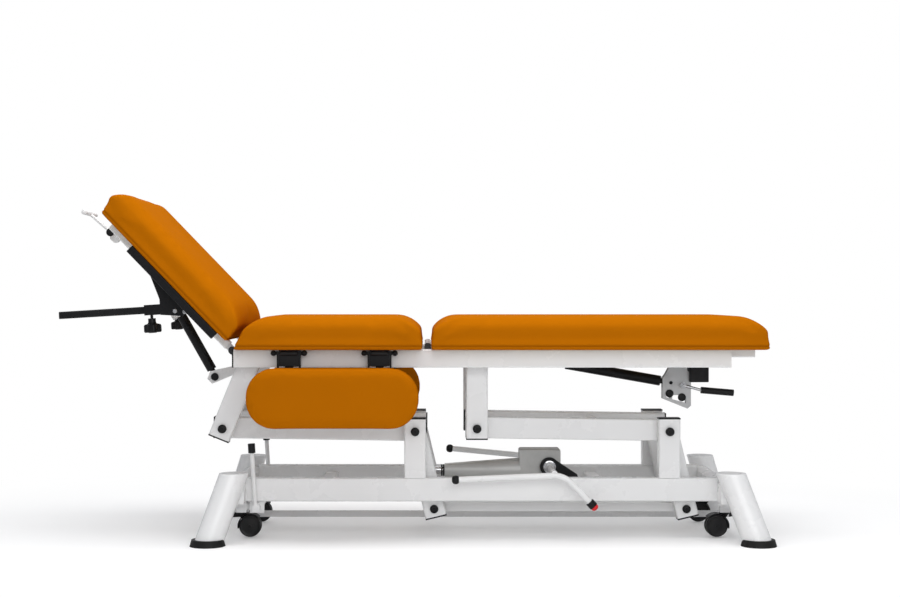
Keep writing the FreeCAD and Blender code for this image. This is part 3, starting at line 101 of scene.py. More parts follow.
bpy.ops.object.select_all(action="DESELECT")
bpy.ops.mesh.primitive_plane_add(size=40)
floor = bpy.context.object
floor.name = "floor"
floor_finish = bpy.data.materials.new("pale_floor")
floor_finish.use_nodes = True
floor_nodes = floor_finish.node_tree
floor_nodes.nodes.clear()
floor_out = floor_nodes.nodes.new("ShaderNodeOutputMaterial")
floor_diffuse = floor_nodes.nodes.new("ShaderNodeBsdfDiffuse")
floor_diffuse.inputs["Color"].default_value = (0.8, 0.8, 0.8, 1)
floor_glow = floor_nodes.nodes.new("ShaderNodeEmission")
floor_glow.inputs["Color"].default_value = (0.23, 0.23, 0.23, 1)
floor_both = floor_nodes.nodes.new("ShaderNodeAddShader")
floor_white = floor_nodes.nodes.new("ShaderNodeEmission")
floor_white.inputs["Color"].default_value = (1, 1, 1, 1)
floor_place = floor_nodes.nodes.new("ShaderNodeTexCoord")
floor_shape = floor_nodes.nodes.new("ShaderNodeMapping")
floor_shape.inputs["Location"].default_value = (-0.02, 0, 0)
floor_shape.inputs["Scale"].default_value = (0.62, 1.0, 1.0)
floor_away = floor_nodes.nodes.new("ShaderNodeVectorMath")
floor_away.operation = "LENGTH"
floor_fade = floor_nodes.nodes.new("ShaderNodeMapRange")
floor_fade.interpolation_type = "SMOOTHSTEP"
floor_fade.inputs["From Min"].default_value = 0.55
floor_fade.inputs["From Max"].default_value = 1.5
floor_far = floor_nodes.nodes.new("ShaderNodeMixShader")
floor_path = floor_nodes.nodes.new("ShaderNodeLightPath")
floor_mix = floor_nodes.nodes.new("ShaderNodeMixShader")
floor_nodes.links.new(floor_place.outputs["Object"], floor_shape.inputs["Vector"])
floor_nodes.links.new(floor_shape.outputs["Vector"], floor_away.inputs[0])
floor_nodes.links.new(floor_away.outputs["Value"], floor_fade.inputs["Value"])
floor_nodes.links.new(floor_diffuse.outputs[0], floor_both.inputs[0])
floor_nodes.links.new(floor_glow.outputs[0], floor_both.inputs[1])
floor_nodes.links.new(floor_fade.outputs["Result"], floor_far.inputs["Fac"])
floor_nodes.links.new(floor_both.outputs[0], floor_far.inputs[1])
floor_nodes.links.new(floor_white.outputs[0], floor_far.inputs[2])
floor_nodes.links.new(floor_path.outputs["Is Camera Ray"], floor_mix.inputs["Fac"])
floor_nodes.links.new(floor_diffuse.outputs[0], floor_mix.inputs[1])
floor_nodes.links.new(floor_far.outputs[0], floor_mix.inputs[2])
floor_nodes.links.new(floor_mix.outputs[0], floor_out.inputs["Surface"])
floor.data.materials.append(floor_finish)


# White powder coat on the steelwork
# Every frame tube, post, arm and foot is sprayed and baked. The coat has a faint orange peel and is
# a little duller and greyer where feet and hands have rubbed it.
def marks_group():
    """A node group shared by all hard finishes: fine peel for the bump and broad worn patches."""
    group = bpy.data.node_groups.new("surface_marks", "ShaderNodeTree")
    sockets = group.interface
    for label, value in (("Peel Scale", 900.0), ("Patch Scale", 5.0), ("Patch Low", 0.45),
                         ("Patch High", 0.75)):
        socket = sockets.new_socket(label, in_out="INPUT", socket_type="NodeSocketFloat")
        socket.default_value = value
    sockets.new_socket("Peel", in_out="OUTPUT", socket_type="NodeSocketFloat")
    sockets.new_socket("Patches", in_out="OUTPUT", socket_type="NodeSocketFloat")
    given = group.nodes.new("NodeGroupInput")
    out = group.nodes.new("NodeGroupOutput")
    place = group.nodes.new("ShaderNodeTexCoord")
    peel = group.nodes.new("ShaderNodeTexNoise")
    peel.inputs["Detail"].default_value = 3.0
    patch = group.nodes.new("ShaderNodeTexNoise")
    patch.inputs["Detail"].default_value = 6.0
    patch.inputs["Roughness"].default_value = 0.65
    spread = group.nodes.new("ShaderNodeMapRange")
    spread.interpolation_type = "SMOOTHSTEP"
    group.links.new(place.outputs["Object"], peel.inputs["Vector"])
    group.links.new(place.outputs["Object"], patch.inputs["Vector"])
    group.links.new(given.outputs["Peel Scale"], peel.inputs["Scale"])
    group.links.new(given.outputs["Patch Scale"], patch.inputs["Scale"])
    group.links.new(patch.outputs["Fac"], spread.inputs["Value"])
    group.links.new(given.outputs["Patch Low"], spread.inputs["From Min"])
    group.links.new(given.outputs["Patch High"], spread.inputs["From Max"])
    group.links.new(peel.outputs["Fac"], out.inputs["Peel"])
    group.links.new(spread.outputs["Result"], out.inputs["Patches"])
    return group


surface_marks = marks_group()


def hard_finish(name, colour, worn, roughness, worn_roughness, metallic=0.0, coat=0.0,
                peel_scale=900.0, peel_depth=0.02, patch_scale=5.0, shine=0.5):
    """A paint, plastic or metal whose worn patches are a little different in tone and gloss."""
    material = bpy.data.materials.new(name)
    material.use_nodes = True
    tree = material.node_tree
    shader = tree.nodes["Principled BSDF"]
    shader.inputs["Metallic"].default_value = metallic
    shader.inputs["Specular IOR Level"].default_value = shine
    shader.inputs["Coat Weight"].default_value = coat
    shader.inputs["Coat Roughness"].default_value = 0.08
    marks = tree.nodes.new("ShaderNodeGroup")
    marks.node_tree = surface_marks
    marks.inputs["Peel Scale"].default_value = peel_scale
    marks.inputs["Patch Scale"].default_value = patch_scale
    tone = tree.nodes.new("ShaderNodeMix")
    tone.data_type = "RGBA"
    tone.inputs["A"].default_value = (*colour, 1)
    tone.inputs["B"].default_value = (*worn, 1)
    gloss = tree.nodes.new("ShaderNodeMapRange")
    gloss.inputs["To Min"].default_value = roughness
    gloss.inputs["To Max"].default_value = worn_roughness
    relief = tree.nodes.new("ShaderNodeBump")
    relief.inputs["Strength"].default_value = 1.0
    relief.inputs["Distance"].default_value = peel_depth / 1000
    tree.links.new(marks.outputs["Patches"], tone.inputs["Factor"])
    tree.links.new(tone.outputs["Result"], shader.inputs["Base Color"])
    tree.links.new(marks.outputs["Patches"], gloss.inputs["Value"])
    tree.links.new(gloss.outputs["Result"], shader.inputs["Roughness"])
    tree.links.new(marks.outputs["Peel"], relief.inputs["Height"])
    tree.links.new(relief.outputs["Normal"], shader.inputs["Normal"])
    return material


def paint(material, *nodes):
    """Gives CAD nodes their finish."""
    for node in nodes:
        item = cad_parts[node]
        item.data.materials.clear()
        item.data.materials.append(material)


white_coat = hard_finish("white_powder_coat", (0.87, 0.87, 0.865), (0.865, 0.865, 0.858), 0.27,
                         0.32, coat=0.3, peel_scale=700.0, peel_depth=0.03)
paint(white_coat, "base_side_rails", "base_cross_tubes", "base_posts", "end_beams", "foot_tubes",
      "left_lift_crank", "right_lift_crank", "tie_bars", "upper_side_rails",
      "upper_cross_tubes", "hanging_posts", "head_frame", "leg_frame", "tee_handle",
      "left_castor_rocker", "right_castor_rocker", "castor_link")

# Black steel of the head section and the armrests
# Side rails, stay, sliding bars with their sleeves, clamps and straps have a satin black coat with
# a finer grain than the white one.
black_coat = hard_finish("black_powder_coat", (0.006, 0.006, 0.007), (0.014, 0.014, 0.015), 0.38,
                         0.5, peel_scale=1400.0, peel_depth=0.04, shine=0.2)
paint(black_coat, "head_side_rails", "head_stay", "bar_sleeves", "near_extension_bar",
      "far_extension_bar", "armrest_clamps", "near_armrest_arms", "far_armrest_arms",
      "leg_spring_tube")

# Moulded plastic plugs, caps, forks and tips
# Tube plugs, bolt caps, star knobs, castor forks and pedal tips are moulded polyamide with a dull
# fine grain. They are all black, but for the red button of the pedal that lowers the table.
black_plastic = hard_finish("black_moulded_plastic", (0.006, 0.006, 0.0065), (0.014, 0.014, 0.015),
                            0.42, 0.58, peel_scale=2600.0, peel_depth=0.03, patch_scale=18.0,
                            shine=0.25)
paint(black_plastic, "base_plugs_and_bolts", "left_crank_plugs", "right_crank_plugs",
      "upper_plugs_and_bolts", "pedal_tips_and_crank", "leg_release_grip", "castor_lever_tips",
      "near_left_castor_fork", "near_right_castor_fork", "far_left_castor_fork",
      "far_right_castor_fork")
red_plastic = hard_finish("red_moulded_plastic", (0.72, 0.004, 0.008), (0.6, 0.01, 0.012), 0.3,
                          0.42, peel_scale=2200.0, patch_scale=20.0)

# Rubber of the foot rings
# Each splayed foot stands in a ring of black moulded rubber, which is pushed on from below. Its
# coarse matt surface is greyer where it picks up dust.
rubber = hard_finish("black_rubber", (0.007, 0.007, 0.007), (0.018, 0.017, 0.016), 0.55, 0.75,
                     peel_scale=1800.0, peel_depth=0.08, patch_scale=12.0, shine=0.25)
paint(rubber, "foot_rings")

# Bare metal of the rods and the release bracket
# The ram, the spring rod and the release lever are bright plated steel. The bracket under the foot
# end is a grey die casting with a duller, grainier face.
plated = hard_finish("plated_steel", (0.62, 0.62, 0.63), (0.5, 0.5, 0.51), 0.18, 0.32,
                     metallic=1.0, peel_scale=1200.0, peel_depth=0.01, patch_scale=14.0)
cast_metal = hard_finish("cast_alloy", (0.5, 0.5, 0.5), (0.4, 0.4, 0.4), 0.38, 0.5,
                         metallic=0.7, peel_scale=1500.0, peel_depth=0.09, patch_scale=16.0)
paint(plated, "pump_ram", "leg_spring_rod", "leg_release_lever")
paint(cast_metal, "spring_casting")

# Hydraulic pump
# A drawn steel cylinder that widens into a folded housing, painted mid grey over a rough surface.
# It is bolted to the base, and its ram pushes the left crank.
pump_paint = hard_finish("pump_grey_paint", (0.56, 0.56, 0.545), (0.47, 0.47, 0.455), 0.4, 0.52,
                         metallic=0.2, peel_scale=500.0, peel_depth=0.08, patch_scale=9.0)
paint(pump_paint, "pump_body")


# Hinge brackets
# White plates welded on the upper frame, which carry the head and leg hinges. Their bolts end in
# round black caps outside the rails.
def capped_finish(name, side):
    """The white coat with everything further out than a given side in black."""
    material = white_coat.copy()
    material.name = name
    tree = material.node_tree
    shader = tree.nodes["Principled BSDF"]
    tone = shader.inputs["Base Color"].links[0].from_socket
    place = tree.nodes.new("ShaderNodeTexCoord")
    split = tree.nodes.new("ShaderNodeSeparateXYZ")
    away = tree.nodes.new("ShaderNodeMath")
    away.operation = "ABSOLUTE"
    outside = tree.nodes.new("ShaderNodeMath")
    outside.operation = "GREATER_THAN"
    outside.inputs[1].default_value = side
    pick = tree.nodes.new("ShaderNodeMix")
    pick.data_type = "RGBA"
    pick.inputs["B"].default_value = (0.014, 0.014, 0.015, 1)
    tree.links.new(place.outputs["Object"], split.inputs["Vector"])
    tree.links.new(split.outputs["Y"], away.inputs[0])
    tree.links.new(away.outputs["Value"], outside.inputs[0])
    tree.links.new(outside.outputs["Value"], pick.inputs["Factor"])
    tree.links.new(tone, pick.inputs["A"])
    tree.links.new(pick.outputs["Result"], shader.inputs["Base Color"])
    return material


paint(capped_finish("hinge_plate_coat", 0.2041), "hinge_brackets")


# Boards under the pads
# Birch plywood, 16 mm, with its grain along the table. Each pad's cover is stapled under its board,
# so only the undersides show.
def plywood_finish():
    """Light plywood: a long grain that tints it, roughens it and stands up a little."""
    material = bpy.data.materials.new("birch_plywood")
    material.use_nodes = True
    tree = material.node_tree
    shader = tree.nodes["Principled BSDF"]
    shader.inputs["Coat Weight"].default_value = 0.1
    place = tree.nodes.new("ShaderNodeTexCoord")
    stretch = tree.nodes.new("ShaderNodeMapping")
    stretch.inputs["Scale"].default_value = (3, 60, 60)
    grain = tree.nodes.new("ShaderNodeTexNoise")
    grain.inputs["Scale"].default_value = 3.0
    grain.inputs["Detail"].default_value = 8.0
    tone = tree.nodes.new("ShaderNodeValToRGB")
    tone.color_ramp.elements[0].position = 0.35
    tone.color_ramp.elements[0].color = (0.38, 0.24, 0.12, 1)
    tone.color_ramp.elements[1].position = 0.7
    tone.color_ramp.elements[1].color = (0.62, 0.46, 0.27, 1)
    rough = tree.nodes.new("ShaderNodeMapRange")
    rough.inputs["To Min"].default_value = 0.5
    rough.inputs["To Max"].default_value = 0.7
    relief = tree.nodes.new("ShaderNodeBump")
    relief.inputs["Distance"].default_value = 0.0002
    tree.links.new(place.outputs["Object"], stretch.inputs["Vector"])
    tree.links.new(stretch.outputs["Vector"], grain.inputs["Vector"])
    tree.links.new(grain.outputs["Fac"], tone.inputs["Fac"])
    tree.links.new(tone.outputs["Color"], shader.inputs["Base Color"])
    tree.links.new(grain.outputs["Fac"], rough.inputs["Value"])
    tree.links.new(rough.outputs["Result"], shader.inputs["Roughness"])
    tree.links.new(grain.outputs["Fac"], relief.inputs["Height"])
    tree.links.new(relief.outputs["Normal"], shader.inputs["Normal"])
    return material


paint(plywood_finish(), "seat_board", "head_board", "leg_board")


# Upholstery vinyl
# Coated fabric in matt orange with a fine pebbled grain. Painted shade darkens it in the pressed
# seam that runs round each pad.
def vinyl_finish():
    """Pebbled vinyl with painted shade in its seam groove, read from the pad's own attribute."""
    material = bpy.data.materials.new("orange_vinyl")
    material.use_nodes = True
    tree = material.node_tree
    shader = tree.nodes["Principled BSDF"]
    shader.inputs["IOR"].default_value = 1.006
    place = tree.nodes.new("ShaderNodeTexCoord")
    pebbles = tree.nodes.new("ShaderNodeTexVoronoi")
    pebbles.feature = "SMOOTH_F1"
    pebbles.inputs["Scale"].default_value = 720.0
    pebbles.inputs["Smoothness"].default_value = 0.6
    broad = tree.nodes.new("ShaderNodeTexNoise")
    broad.inputs["Scale"].default_value = 7.0
    broad.inputs["Detail"].default_value = 5.0
    tone = tree.nodes.new("ShaderNodeMix")
    tone.data_type = "RGBA"
    tone.inputs["A"].default_value = (0.475, 0.137, 0.0016, 1)
    tone.inputs["B"].default_value = (0.445, 0.127, 0.0014, 1)
    # The pad's attribute mixes in painted shade, a darker orange, along the seam groove.
    seam_shade = tree.nodes.new("ShaderNodeAttribute")
    seam_shade.attribute_name = "seam_shade"
    shade = tree.nodes.new("ShaderNodeMix")
    shade.data_type = "RGBA"
    shade.inputs["B"].default_value = (0.24, 0.062, 0.001, 1)
    rough = tree.nodes.new("ShaderNodeMapRange")
    rough.inputs["To Min"].default_value = 0.44
    rough.inputs["To Max"].default_value = 0.54
    relief = tree.nodes.new("ShaderNodeBump")
    relief.inputs["Strength"].default_value = 0.5
    relief.inputs["Distance"].default_value = 0.00012
    tree.links.new(place.outputs["Object"], pebbles.inputs["Vector"])
    tree.links.new(place.outputs["Object"], broad.inputs["Vector"])
    tree.links.new(broad.outputs["Fac"], tone.inputs["Factor"])
    tree.links.new(tone.outputs["Result"], shade.inputs["A"])
    tree.links.new(seam_shade.outputs["Fac"], shade.inputs["Factor"])
    tree.links.new(shade.outputs["Result"], shader.inputs["Base Color"])
    tree.links.new(broad.outputs["Fac"], rough.inputs["Value"])
    tree.links.new(rough.outputs["Result"], shader.inputs["Roughness"])
    tree.links.new(pebbles.outputs["Distance"], relief.inputs["Height"])
    tree.links.new(relief.outputs["Normal"], shader.inputs["Normal"])
    return material


orange_vinyl = vinyl_finish()


# Hanging posts and their plugs
# The left posts are welded under the frame's left end and lean down to the left, to the arms' ends.
# They and their low plugs are the CAD pieces turned round about the upright through the pins. The
# plugs in the rails' right ends are white.
def bring_in(name, shape):
    """A new piece with a given mesh or curve, which is then the only one selected."""
    piece = bpy.data.objects.new(name, shape)
    scene.collection.objects.link(piece)
    bpy.ops.object.select_all(action="DESELECT")
    piece.select_set(True)
    bpy.context.view_layer.objects.active = piece
    return piece


left_pin_x = -0.535
left_end_x, low_plug_top, white_plug_x = -0.42, 0.4, 0.85
for node, slot, name in (("hanging_posts", "white_paint", "leaning_posts"),
                         ("upper_plugs_and_bolts", "black_plastic", "frame_plugs")):
    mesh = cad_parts[node].data.copy()
    mesh.name = name
    if node == "upper_plugs_and_bolts":
        mesh.materials.append(white_coat)
        for face in mesh.polygons:
            if face.center.x > white_plug_x:
                face.material_index = 1
    posts = bring_in(name, mesh)
    low_left = [corner.index for corner in mesh.vertices if corner.co.x < left_end_x
                and (node == "hanging_posts" or corner.co.z < low_plug_top)]
    for index in low_left:
        mesh.vertices[index].co.x = 2 * left_pin_x - mesh.vertices[index].co.x
    turned = set(low_left)
    for face in mesh.polygons:
        face.select = all(index in turned for index in face.vertices)
    bpy.ops.object.mode_set(mode="EDIT")
    bpy.ops.mesh.select_mode(type="FACE")
    bpy.ops.mesh.flip_normals()
    bpy.ops.mesh.select_all(action="SELECT")
    bpy.ops.mesh.customdata_custom_splitnormals_clear()
    bpy.ops.object.mode_set(mode="OBJECT")
    bpy.ops.object.shade_smooth_by_angle(angle=math.radians(30))
    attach(posts, "upper_frame")
    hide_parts(node)


# Upholstered pads
# Foam on a board, covered in vinyl that is pulled round the board's edge. Each pad is remeshed from
# its CAD solid in its own directions (along, across and up from its board), blown up gently as
# cloth so that its faces crown, brought back to the pad's size, and then sewn: its upper edges are
# eased down, its underside is let in round the board, and a seam is pressed all round it.
def upholstered_pad(name, node, body, along, up, skirt=0.0, ends=(0.0, 0.0), tops=(0.0, 0.0),
                    swell=0.008, ease=0.010, bulge=(), voxel=0.006):
    """ends and tops are how far the cover reaches past the CAD pad along and across it, skirt is
    how far it reaches below it, and bulge is how far its far end moves out at some heights. swell
    is the most that the cloth blows out, and ease how far the long edges come down."""
    along = np.array(along, float)
    up = np.array(up, float)
    own = np.array([along, np.cross(up, along), up])
    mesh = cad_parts[node].data.copy()
    mesh.name = name
    pad = bring_in(name, mesh)
    bpy.ops.object.mode_set(mode="EDIT")
    bpy.ops.mesh.select_all(action="SELECT")
    bpy.ops.mesh.remove_doubles(threshold=0.00005)
    bpy.ops.object.mode_set(mode="OBJECT")

    def read(kind="co"):
        flat = np.empty(len(pad.data.vertices) * 3)
        pad.data.vertices.foreach_get(kind, flat)
        return flat.reshape(-1, 3)

    def put(places):
        pad.data.vertices.foreach_set("co", np.asarray(places).ravel())
        pad.data.update()

    places = read() @ own.T
    back = places[:, 2].min()
    places[places[:, 2] < back + 0.001, 2] -= skirt
    back -= skirt
    low, high = places.min(0), places.max(0)
    low[:2] -= (ends[0], tops[0])
    high[:2] += (ends[1], tops[1])
    tall = high[2] - low[2]
    if bulge:
        heights, moves = zip(*bulge)
        bulge_reach, bulge_fade = 0.085, 0.015
        at_end = np.clip((places[:, 0] - high[0] + ends[1] + bulge_reach) / bulge_fade, 0, 1)
        places[:, 0] += at_end * np.interp(places[:, 2] - back, heights, moves)
    put(places)
    grid = pad.modifiers.new("grid", "REMESH")
    grid.mode = "VOXEL"
    grid.voxel_size = voxel
    bpy.ops.object.modifier_apply(modifier="grid")
    soften = pad.modifiers.new("soften", "SMOOTH")
    soften.factor = 0.5
    soften.iterations = 6
    bpy.ops.object.modifier_apply(modifier="soften")
    start = read()
    cloth = pad.modifiers.new("blow_up", "CLOTH")
    cloth.settings.use_pressure = True
    cloth.settings.uniform_pressure_force = 4.0
    cloth.settings.effector_weights.gravity = 0.0
    cloth.settings.tension_stiffness = 20.0
    cloth.settings.compression_stiffness = 20.0
    cloth.settings.bending_stiffness = 2.0
    cloth.settings.quality = 4
    blow_frames = 20
    for step in range(1, blow_frames + 1):
        scene.frame_set(step)
    blown_pad = pad.evaluated_get(bpy.context.evaluated_depsgraph_get())
    blown = np.empty(len(start) * 3)
    blown_pad.data.vertices.foreach_get("co", blown)
    pad.modifiers.clear()
    scene.frame_set(1)
    move = blown.reshape(-1, 3) - start
    far = np.linalg.norm(move, axis=1, keepdims=True)
    move *= np.minimum(1.0, swell / np.maximum(far, 1e-9))
    held, free_rise = 0.004, 0.03
    put(start + move * np.clip((start[:, 2:] - back - held) / free_rise, 0, 1))
    settle = pad.modifiers.new("settle", "SMOOTH")
    settle.factor = 0.5
    settle.iterations = 3
    bpy.ops.object.modifier_apply(modifier="settle")
    places = read()
    now_low, now_high = places.min(0), places.max(0)
    put(low + (places - now_low) * (high - low) / (now_high - now_low))
    finer = pad.modifiers.new("finer", "SUBSURF")
    finer.levels = 1
    finer.render_levels = 1
    bpy.ops.object.modifier_apply(modifier="finer")

    places = read()
    rise = np.clip((places[:, 2] - back) / tall, 0, 1)
    middle = (low[1] + high[1]) / 2
    half = (high[1] - low[1]) / 2
    edge_start = 0.62
    outward = np.clip((np.abs(places[:, 1] - middle) / half - edge_start) / (1 - edge_start), 0, 1)
    places[:, 2] -= ease * outward ** 2 * rise ** 2
    if skirt:
        hem, hem_depth = 0.013, 0.001
        inner = np.minimum.reduce([places[:, 0] - low[0], high[0] - places[:, 0],
                                   places[:, 1] - low[1], high[1] - places[:, 1]])
        let_in = (inner > hem) & (places[:, 2] < back + 0.004)
        places[let_in, 2] += skirt - hem_depth
    put(places)
    normals = read("normal")
    seam_height, seam_width, seam_depth = 0.0105, 0.0026, 0.002
    seam = np.exp(-((places[:, 2] - back - seam_height) / seam_width) ** 2)
    seam *= np.sqrt(np.clip(1 - normals[:, 2] ** 2, 0, 1))
    places -= normals * (seam * seam_depth)[:, None]
    put(places @ own)
    # The groove's profile is stored as the amount of painted shade that darkens the vinyl there.
    seam_shade = pad.data.attributes.new("seam_shade", "FLOAT", "POINT")
    seam_shade.data.foreach_set("value", seam * 0.75)
    pad.data.materials.clear()
    pad.data.materials.append(orange_vinyl)
    bpy.ops.object.shade_smooth()
    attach(pad, body)
    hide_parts(node)


board_skirt = 0.0168
head_turn = math.radians(46)
head_along = (-math.cos(head_turn), 0, math.sin(head_turn))
head_up = (math.sin(head_turn), 0, math.cos(head_turn))
head_bulge = ((0.0, -0.013), (0.008, -0.012), (0.029, -0.003), (0.053, 0.009), (0.066, 0.0135),
              (0.080, 0.022), (0.087, 0.031), (0.0918, 0.047))
upholstered_pad("head_pad", "head_cushion", "head_section", head_along, head_up,
                skirt=board_skirt, ends=(0.0, 0.010), bulge=head_bulge)
upholstered_pad("seat_pad", "seat_cushion", "upper_frame", (1, 0, 0), (0, 0, 1),
                skirt=board_skirt, ease=0.006)
upholstered_pad("leg_pad", "leg_cushion", "leg_section", (1, 0, 0), (0, 0, 1),
                skirt=board_skirt, ease=0.006)
upholstered_pad("near_arm_pad", "near_armrest_pad", "near_armrest", (1, 0, 0), (0, -1, 0),
                tops=(0.0, 0.0012), swell=0.005, ease=0.004, voxel=0.005)
upholstered_pad("far_arm_pad", "far_armrest_pad", "far_armrest", (1, 0, 0), (0, 1, 0),
                tops=(0.0012, 0.0), swell=0.005, ease=0.004, voxel=0.005)


# Castor wheels
# Each castor has two moulded wheels with a soft tread, a raised rim and a closed, slightly domed
# face. One profile is spun round the axle, and each copy is put at its castor's CAD wheels.
def spun(name, outline, place, steps=48):
    """A profile of (radius, along the axis) pairs spun round the Y axis and put in its place."""
    mesh = bpy.data.meshes.new(name)
    mesh.from_pydata([(across, depth, 0) for across, depth in outline],
                     [(i, i + 1) for i in range(len(outline) - 1)], [])
    item = bring_in(name, mesh)
    turn = item.modifiers.new("turn", "SCREW")
    turn.axis = "Y"
    turn.steps = steps
    turn.render_steps = steps
    turn.use_merge_vertices = True
    turn.merge_threshold = 0.0001
    bpy.ops.object.modifier_apply(modifier="turn")
    bpy.ops.object.mode_set(mode="EDIT")
    bpy.ops.mesh.select_all(action="SELECT")
    bpy.ops.mesh.remove_doubles(threshold=0.0001)
    bpy.ops.mesh.normals_make_consistent(inside=False)
    bpy.ops.object.mode_set(mode="OBJECT")
    bpy.ops.object.shade_smooth_by_angle(angle=math.radians(40))
    item.data.transform(place)
    return item


wheel_tread = hard_finish("wheel_polyurethane", (0.007, 0.007, 0.0075), (0.02, 0.019, 0.018), 0.4,
                          0.6, peel_scale=1500.0, peel_depth=0.06, patch_scale=25.0, shine=0.3)
wheel_outline = [(0.0, -0.0068), (0.012, -0.0064), (0.022, -0.0052), (0.0245, -0.0062),
                 (0.0275, -0.0075), (0.0302, -0.0058), (0.031, -0.002), (0.031, 0.002),
                 (0.0302, 0.0058), (0.0275, 0.0075), (0.0245, 0.0062), (0.022, 0.0052),
                 (0.012, 0.0064), (0.0, 0.0068)]
wheel_spacing = 0.0115
castors = [side + "_" + end for side in ("near", "far") for end in ("left", "right")]
for castor in castors:
    low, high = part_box(castor + "_castor_wheels")
    hub = (low + high) / 2
    for hand in (-1, 1):
        wheel = spun("%s_wheel_%d" % (castor, hand + 2), wheel_outline,
                     Matrix.Translation(hub + Vector((0, hand * wheel_spacing, 0))))
        wheel.data.materials.append(wheel_tread)
        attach(wheel, castor + "_castor_roller")
        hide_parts(castor + "_castor_wheels")

# Castor hoods
# A moulded hood covers the top of each pair of wheels, from the stem's side over to the trailing
# side. It is a thick strip curved round the axle.
hood_start, hood_sweep = -12, 150
hood_section = ((0.0325, -0.0185), (0.0345, -0.0205), (0.0345, 0.0205), (0.0325, 0.0185))
for castor in castors:
    low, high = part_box(castor + "_castor_wheels")
    hub = (low + high) / 2
    fork_low, fork_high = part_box(castor + "_castor_fork")
    stem_side = 1 if (fork_low.x + fork_high.x) / 2 > hub.x else -1
    steps = 22
    corners = []
    for step in range(steps + 1):
        angle = math.radians(hood_start + hood_sweep * step / steps)
        for radius, side in hood_section:
            corners.append((stem_side * radius * math.cos(angle), side,
                            radius * math.sin(angle)))
    faces = [(0, 1, 2, 3), tuple(4 * steps + i for i in (3, 2, 1, 0))]
    for step in range(steps):
        for i in range(4):
            a, b = 4 * step + i, 4 * step + (i + 1) % 4
            faces.append((a, a + 4, b + 4, b))
    mesh = bpy.data.meshes.new(castor + "_hood")
    mesh.from_pydata(corners, [], faces)
    hood = bring_in(castor + "_hood", mesh)
    bpy.ops.object.mode_set(mode="EDIT")
    bpy.ops.mesh.select_all(action="SELECT")
    bpy.ops.mesh.normals_make_consistent(inside=False)
    bpy.ops.object.mode_set(mode="OBJECT")
    bpy.ops.object.shade_smooth_by_angle(angle=math.radians(35))
    mesh.transform(Matrix.Translation(hub))
    mesh.materials.append(black_plastic)
    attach(hood, castor + "_castor_swivel")


# Star knobs of the sliding bars
# A five-lobed moulded grip with rounded rims, a waisted hub and a threaded stem that presses on the
# bar. The lobes are drawn in the radius of a spun profile.
bar_slope = math.radians(3.5)
stem_x, stem_z, stem_tip = -0.7242, 0.6265, 0.0525
lobes, lobe_root, lobe_depth = 5, 0.012, 0.13
for side in ("near", "far"):
    low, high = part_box(side + "_star_knob")
    y = (low.y + high.y) / 2
    knob = spun(side + "_knob", [(0.0, 0.0), (0.010, 0.0), (0.012, 0.0015), (0.0225, 0.0015),
                                 (0.025, 0.004), (0.025, 0.020), (0.0225, 0.0235),
                                 (0.0125, 0.026), (0.0105, 0.030), (0.0105, 0.040),
                                 (0.004, 0.0405), (0.004, stem_tip), (0.0, stem_tip)],
                Matrix.Rotation(math.radians(90), 4, "X"), steps=60)
    for corner in knob.data.vertices:
        radius = math.hypot(corner.co.x, corner.co.y)
        outward = max(0.0, min(1.0, (radius - lobe_root) / lobe_root))
        around = math.atan2(corner.co.y, corner.co.x)
        scale = 1 - lobe_depth * outward * (1 - math.cos(lobes * around))
        corner.co.x *= scale
        corner.co.y *= scale
    knob.data.transform(Matrix.Translation((stem_x, y, stem_z))
                        @ Matrix.Rotation(-bar_slope, 4, "Y")
                        @ Matrix.Translation((0, 0, -stem_tip)))
    knob.data.materials.append(black_plastic)
    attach(knob, side + "_knob")
    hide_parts(side + "_star_knob")


# Bolt caps
# The pivot bolts have round plastic caps with a raised rim and a hexagonal recess. One cap is
# modelled from a disc by insets and extrusions and then copied to each pivot.
def bolt_cap():
    """One cap that looks up the Z axis, modelled at the origin."""
    bpy.ops.object.select_all(action="DESELECT")
    bpy.ops.mesh.primitive_cylinder_add(vertices=36, radius=0.0118, depth=0.003, location=(0, 0, 0))
    cap = bpy.context.object
    cap.name = "bolt_cap"
    bpy.ops.object.mode_set(mode="EDIT")
    bpy.ops.mesh.select_mode(type="FACE")
    bpy.ops.mesh.select_all(action="DESELECT")
    bpy.ops.object.mode_set(mode="OBJECT")
    for face in cap.data.polygons:
        face.select = face.normal.z > 0.9
    bpy.ops.object.mode_set(mode="EDIT")
    bpy.ops.mesh.inset(thickness=0.0016)
    bpy.ops.transform.translate(value=(0, 0, 0.0012))
    bpy.ops.mesh.inset(thickness=0.0045)
    bpy.ops.transform.translate(value=(0, 0, 0.0005))
    bpy.ops.mesh.inset(thickness=0.0008)
    bpy.ops.transform.translate(value=(0, 0, -0.0016))
    bpy.ops.object.mode_set(mode="OBJECT")
    bpy.ops.object.shade_smooth_by_angle(angle=math.radians(35))
    cap.data.materials.append(black_plastic)
    return cap


cap_model = bolt_cap()
post_cap_y, lever_cap_y = 0.1978, 0.1502
cap_places = []
for side in (-1, 1):
    for x in (0.0, 0.707):
        cap_places.append((x, side * post_cap_y, 0.299, side, "base"))
    for x in (left_pin_x, 0.172):
        cap_places.append((x, side * post_cap_y, 0.307, side, "upper_frame"))
    cap_places.append((0.053, side * lever_cap_y, 0.079, side, "left_crank"))
    cap_places.append((0.760, side * lever_cap_y, 0.079, side, "right_crank"))
for number, (x, y, z, side, body) in enumerate(cap_places):
    cap_mesh = cap_model.data.copy()
    turn = Matrix.Rotation(math.radians(-90 * side), 4, "X")
    cap_mesh.transform(Matrix.Translation((x, y, z)) @ turn)
    cap = bpy.data.objects.new("bolt_cap_%02d" % number, cap_mesh)
    scene.collection.objects.link(cap)
    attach(cap, body)
bpy.data.objects.remove(cap_model)


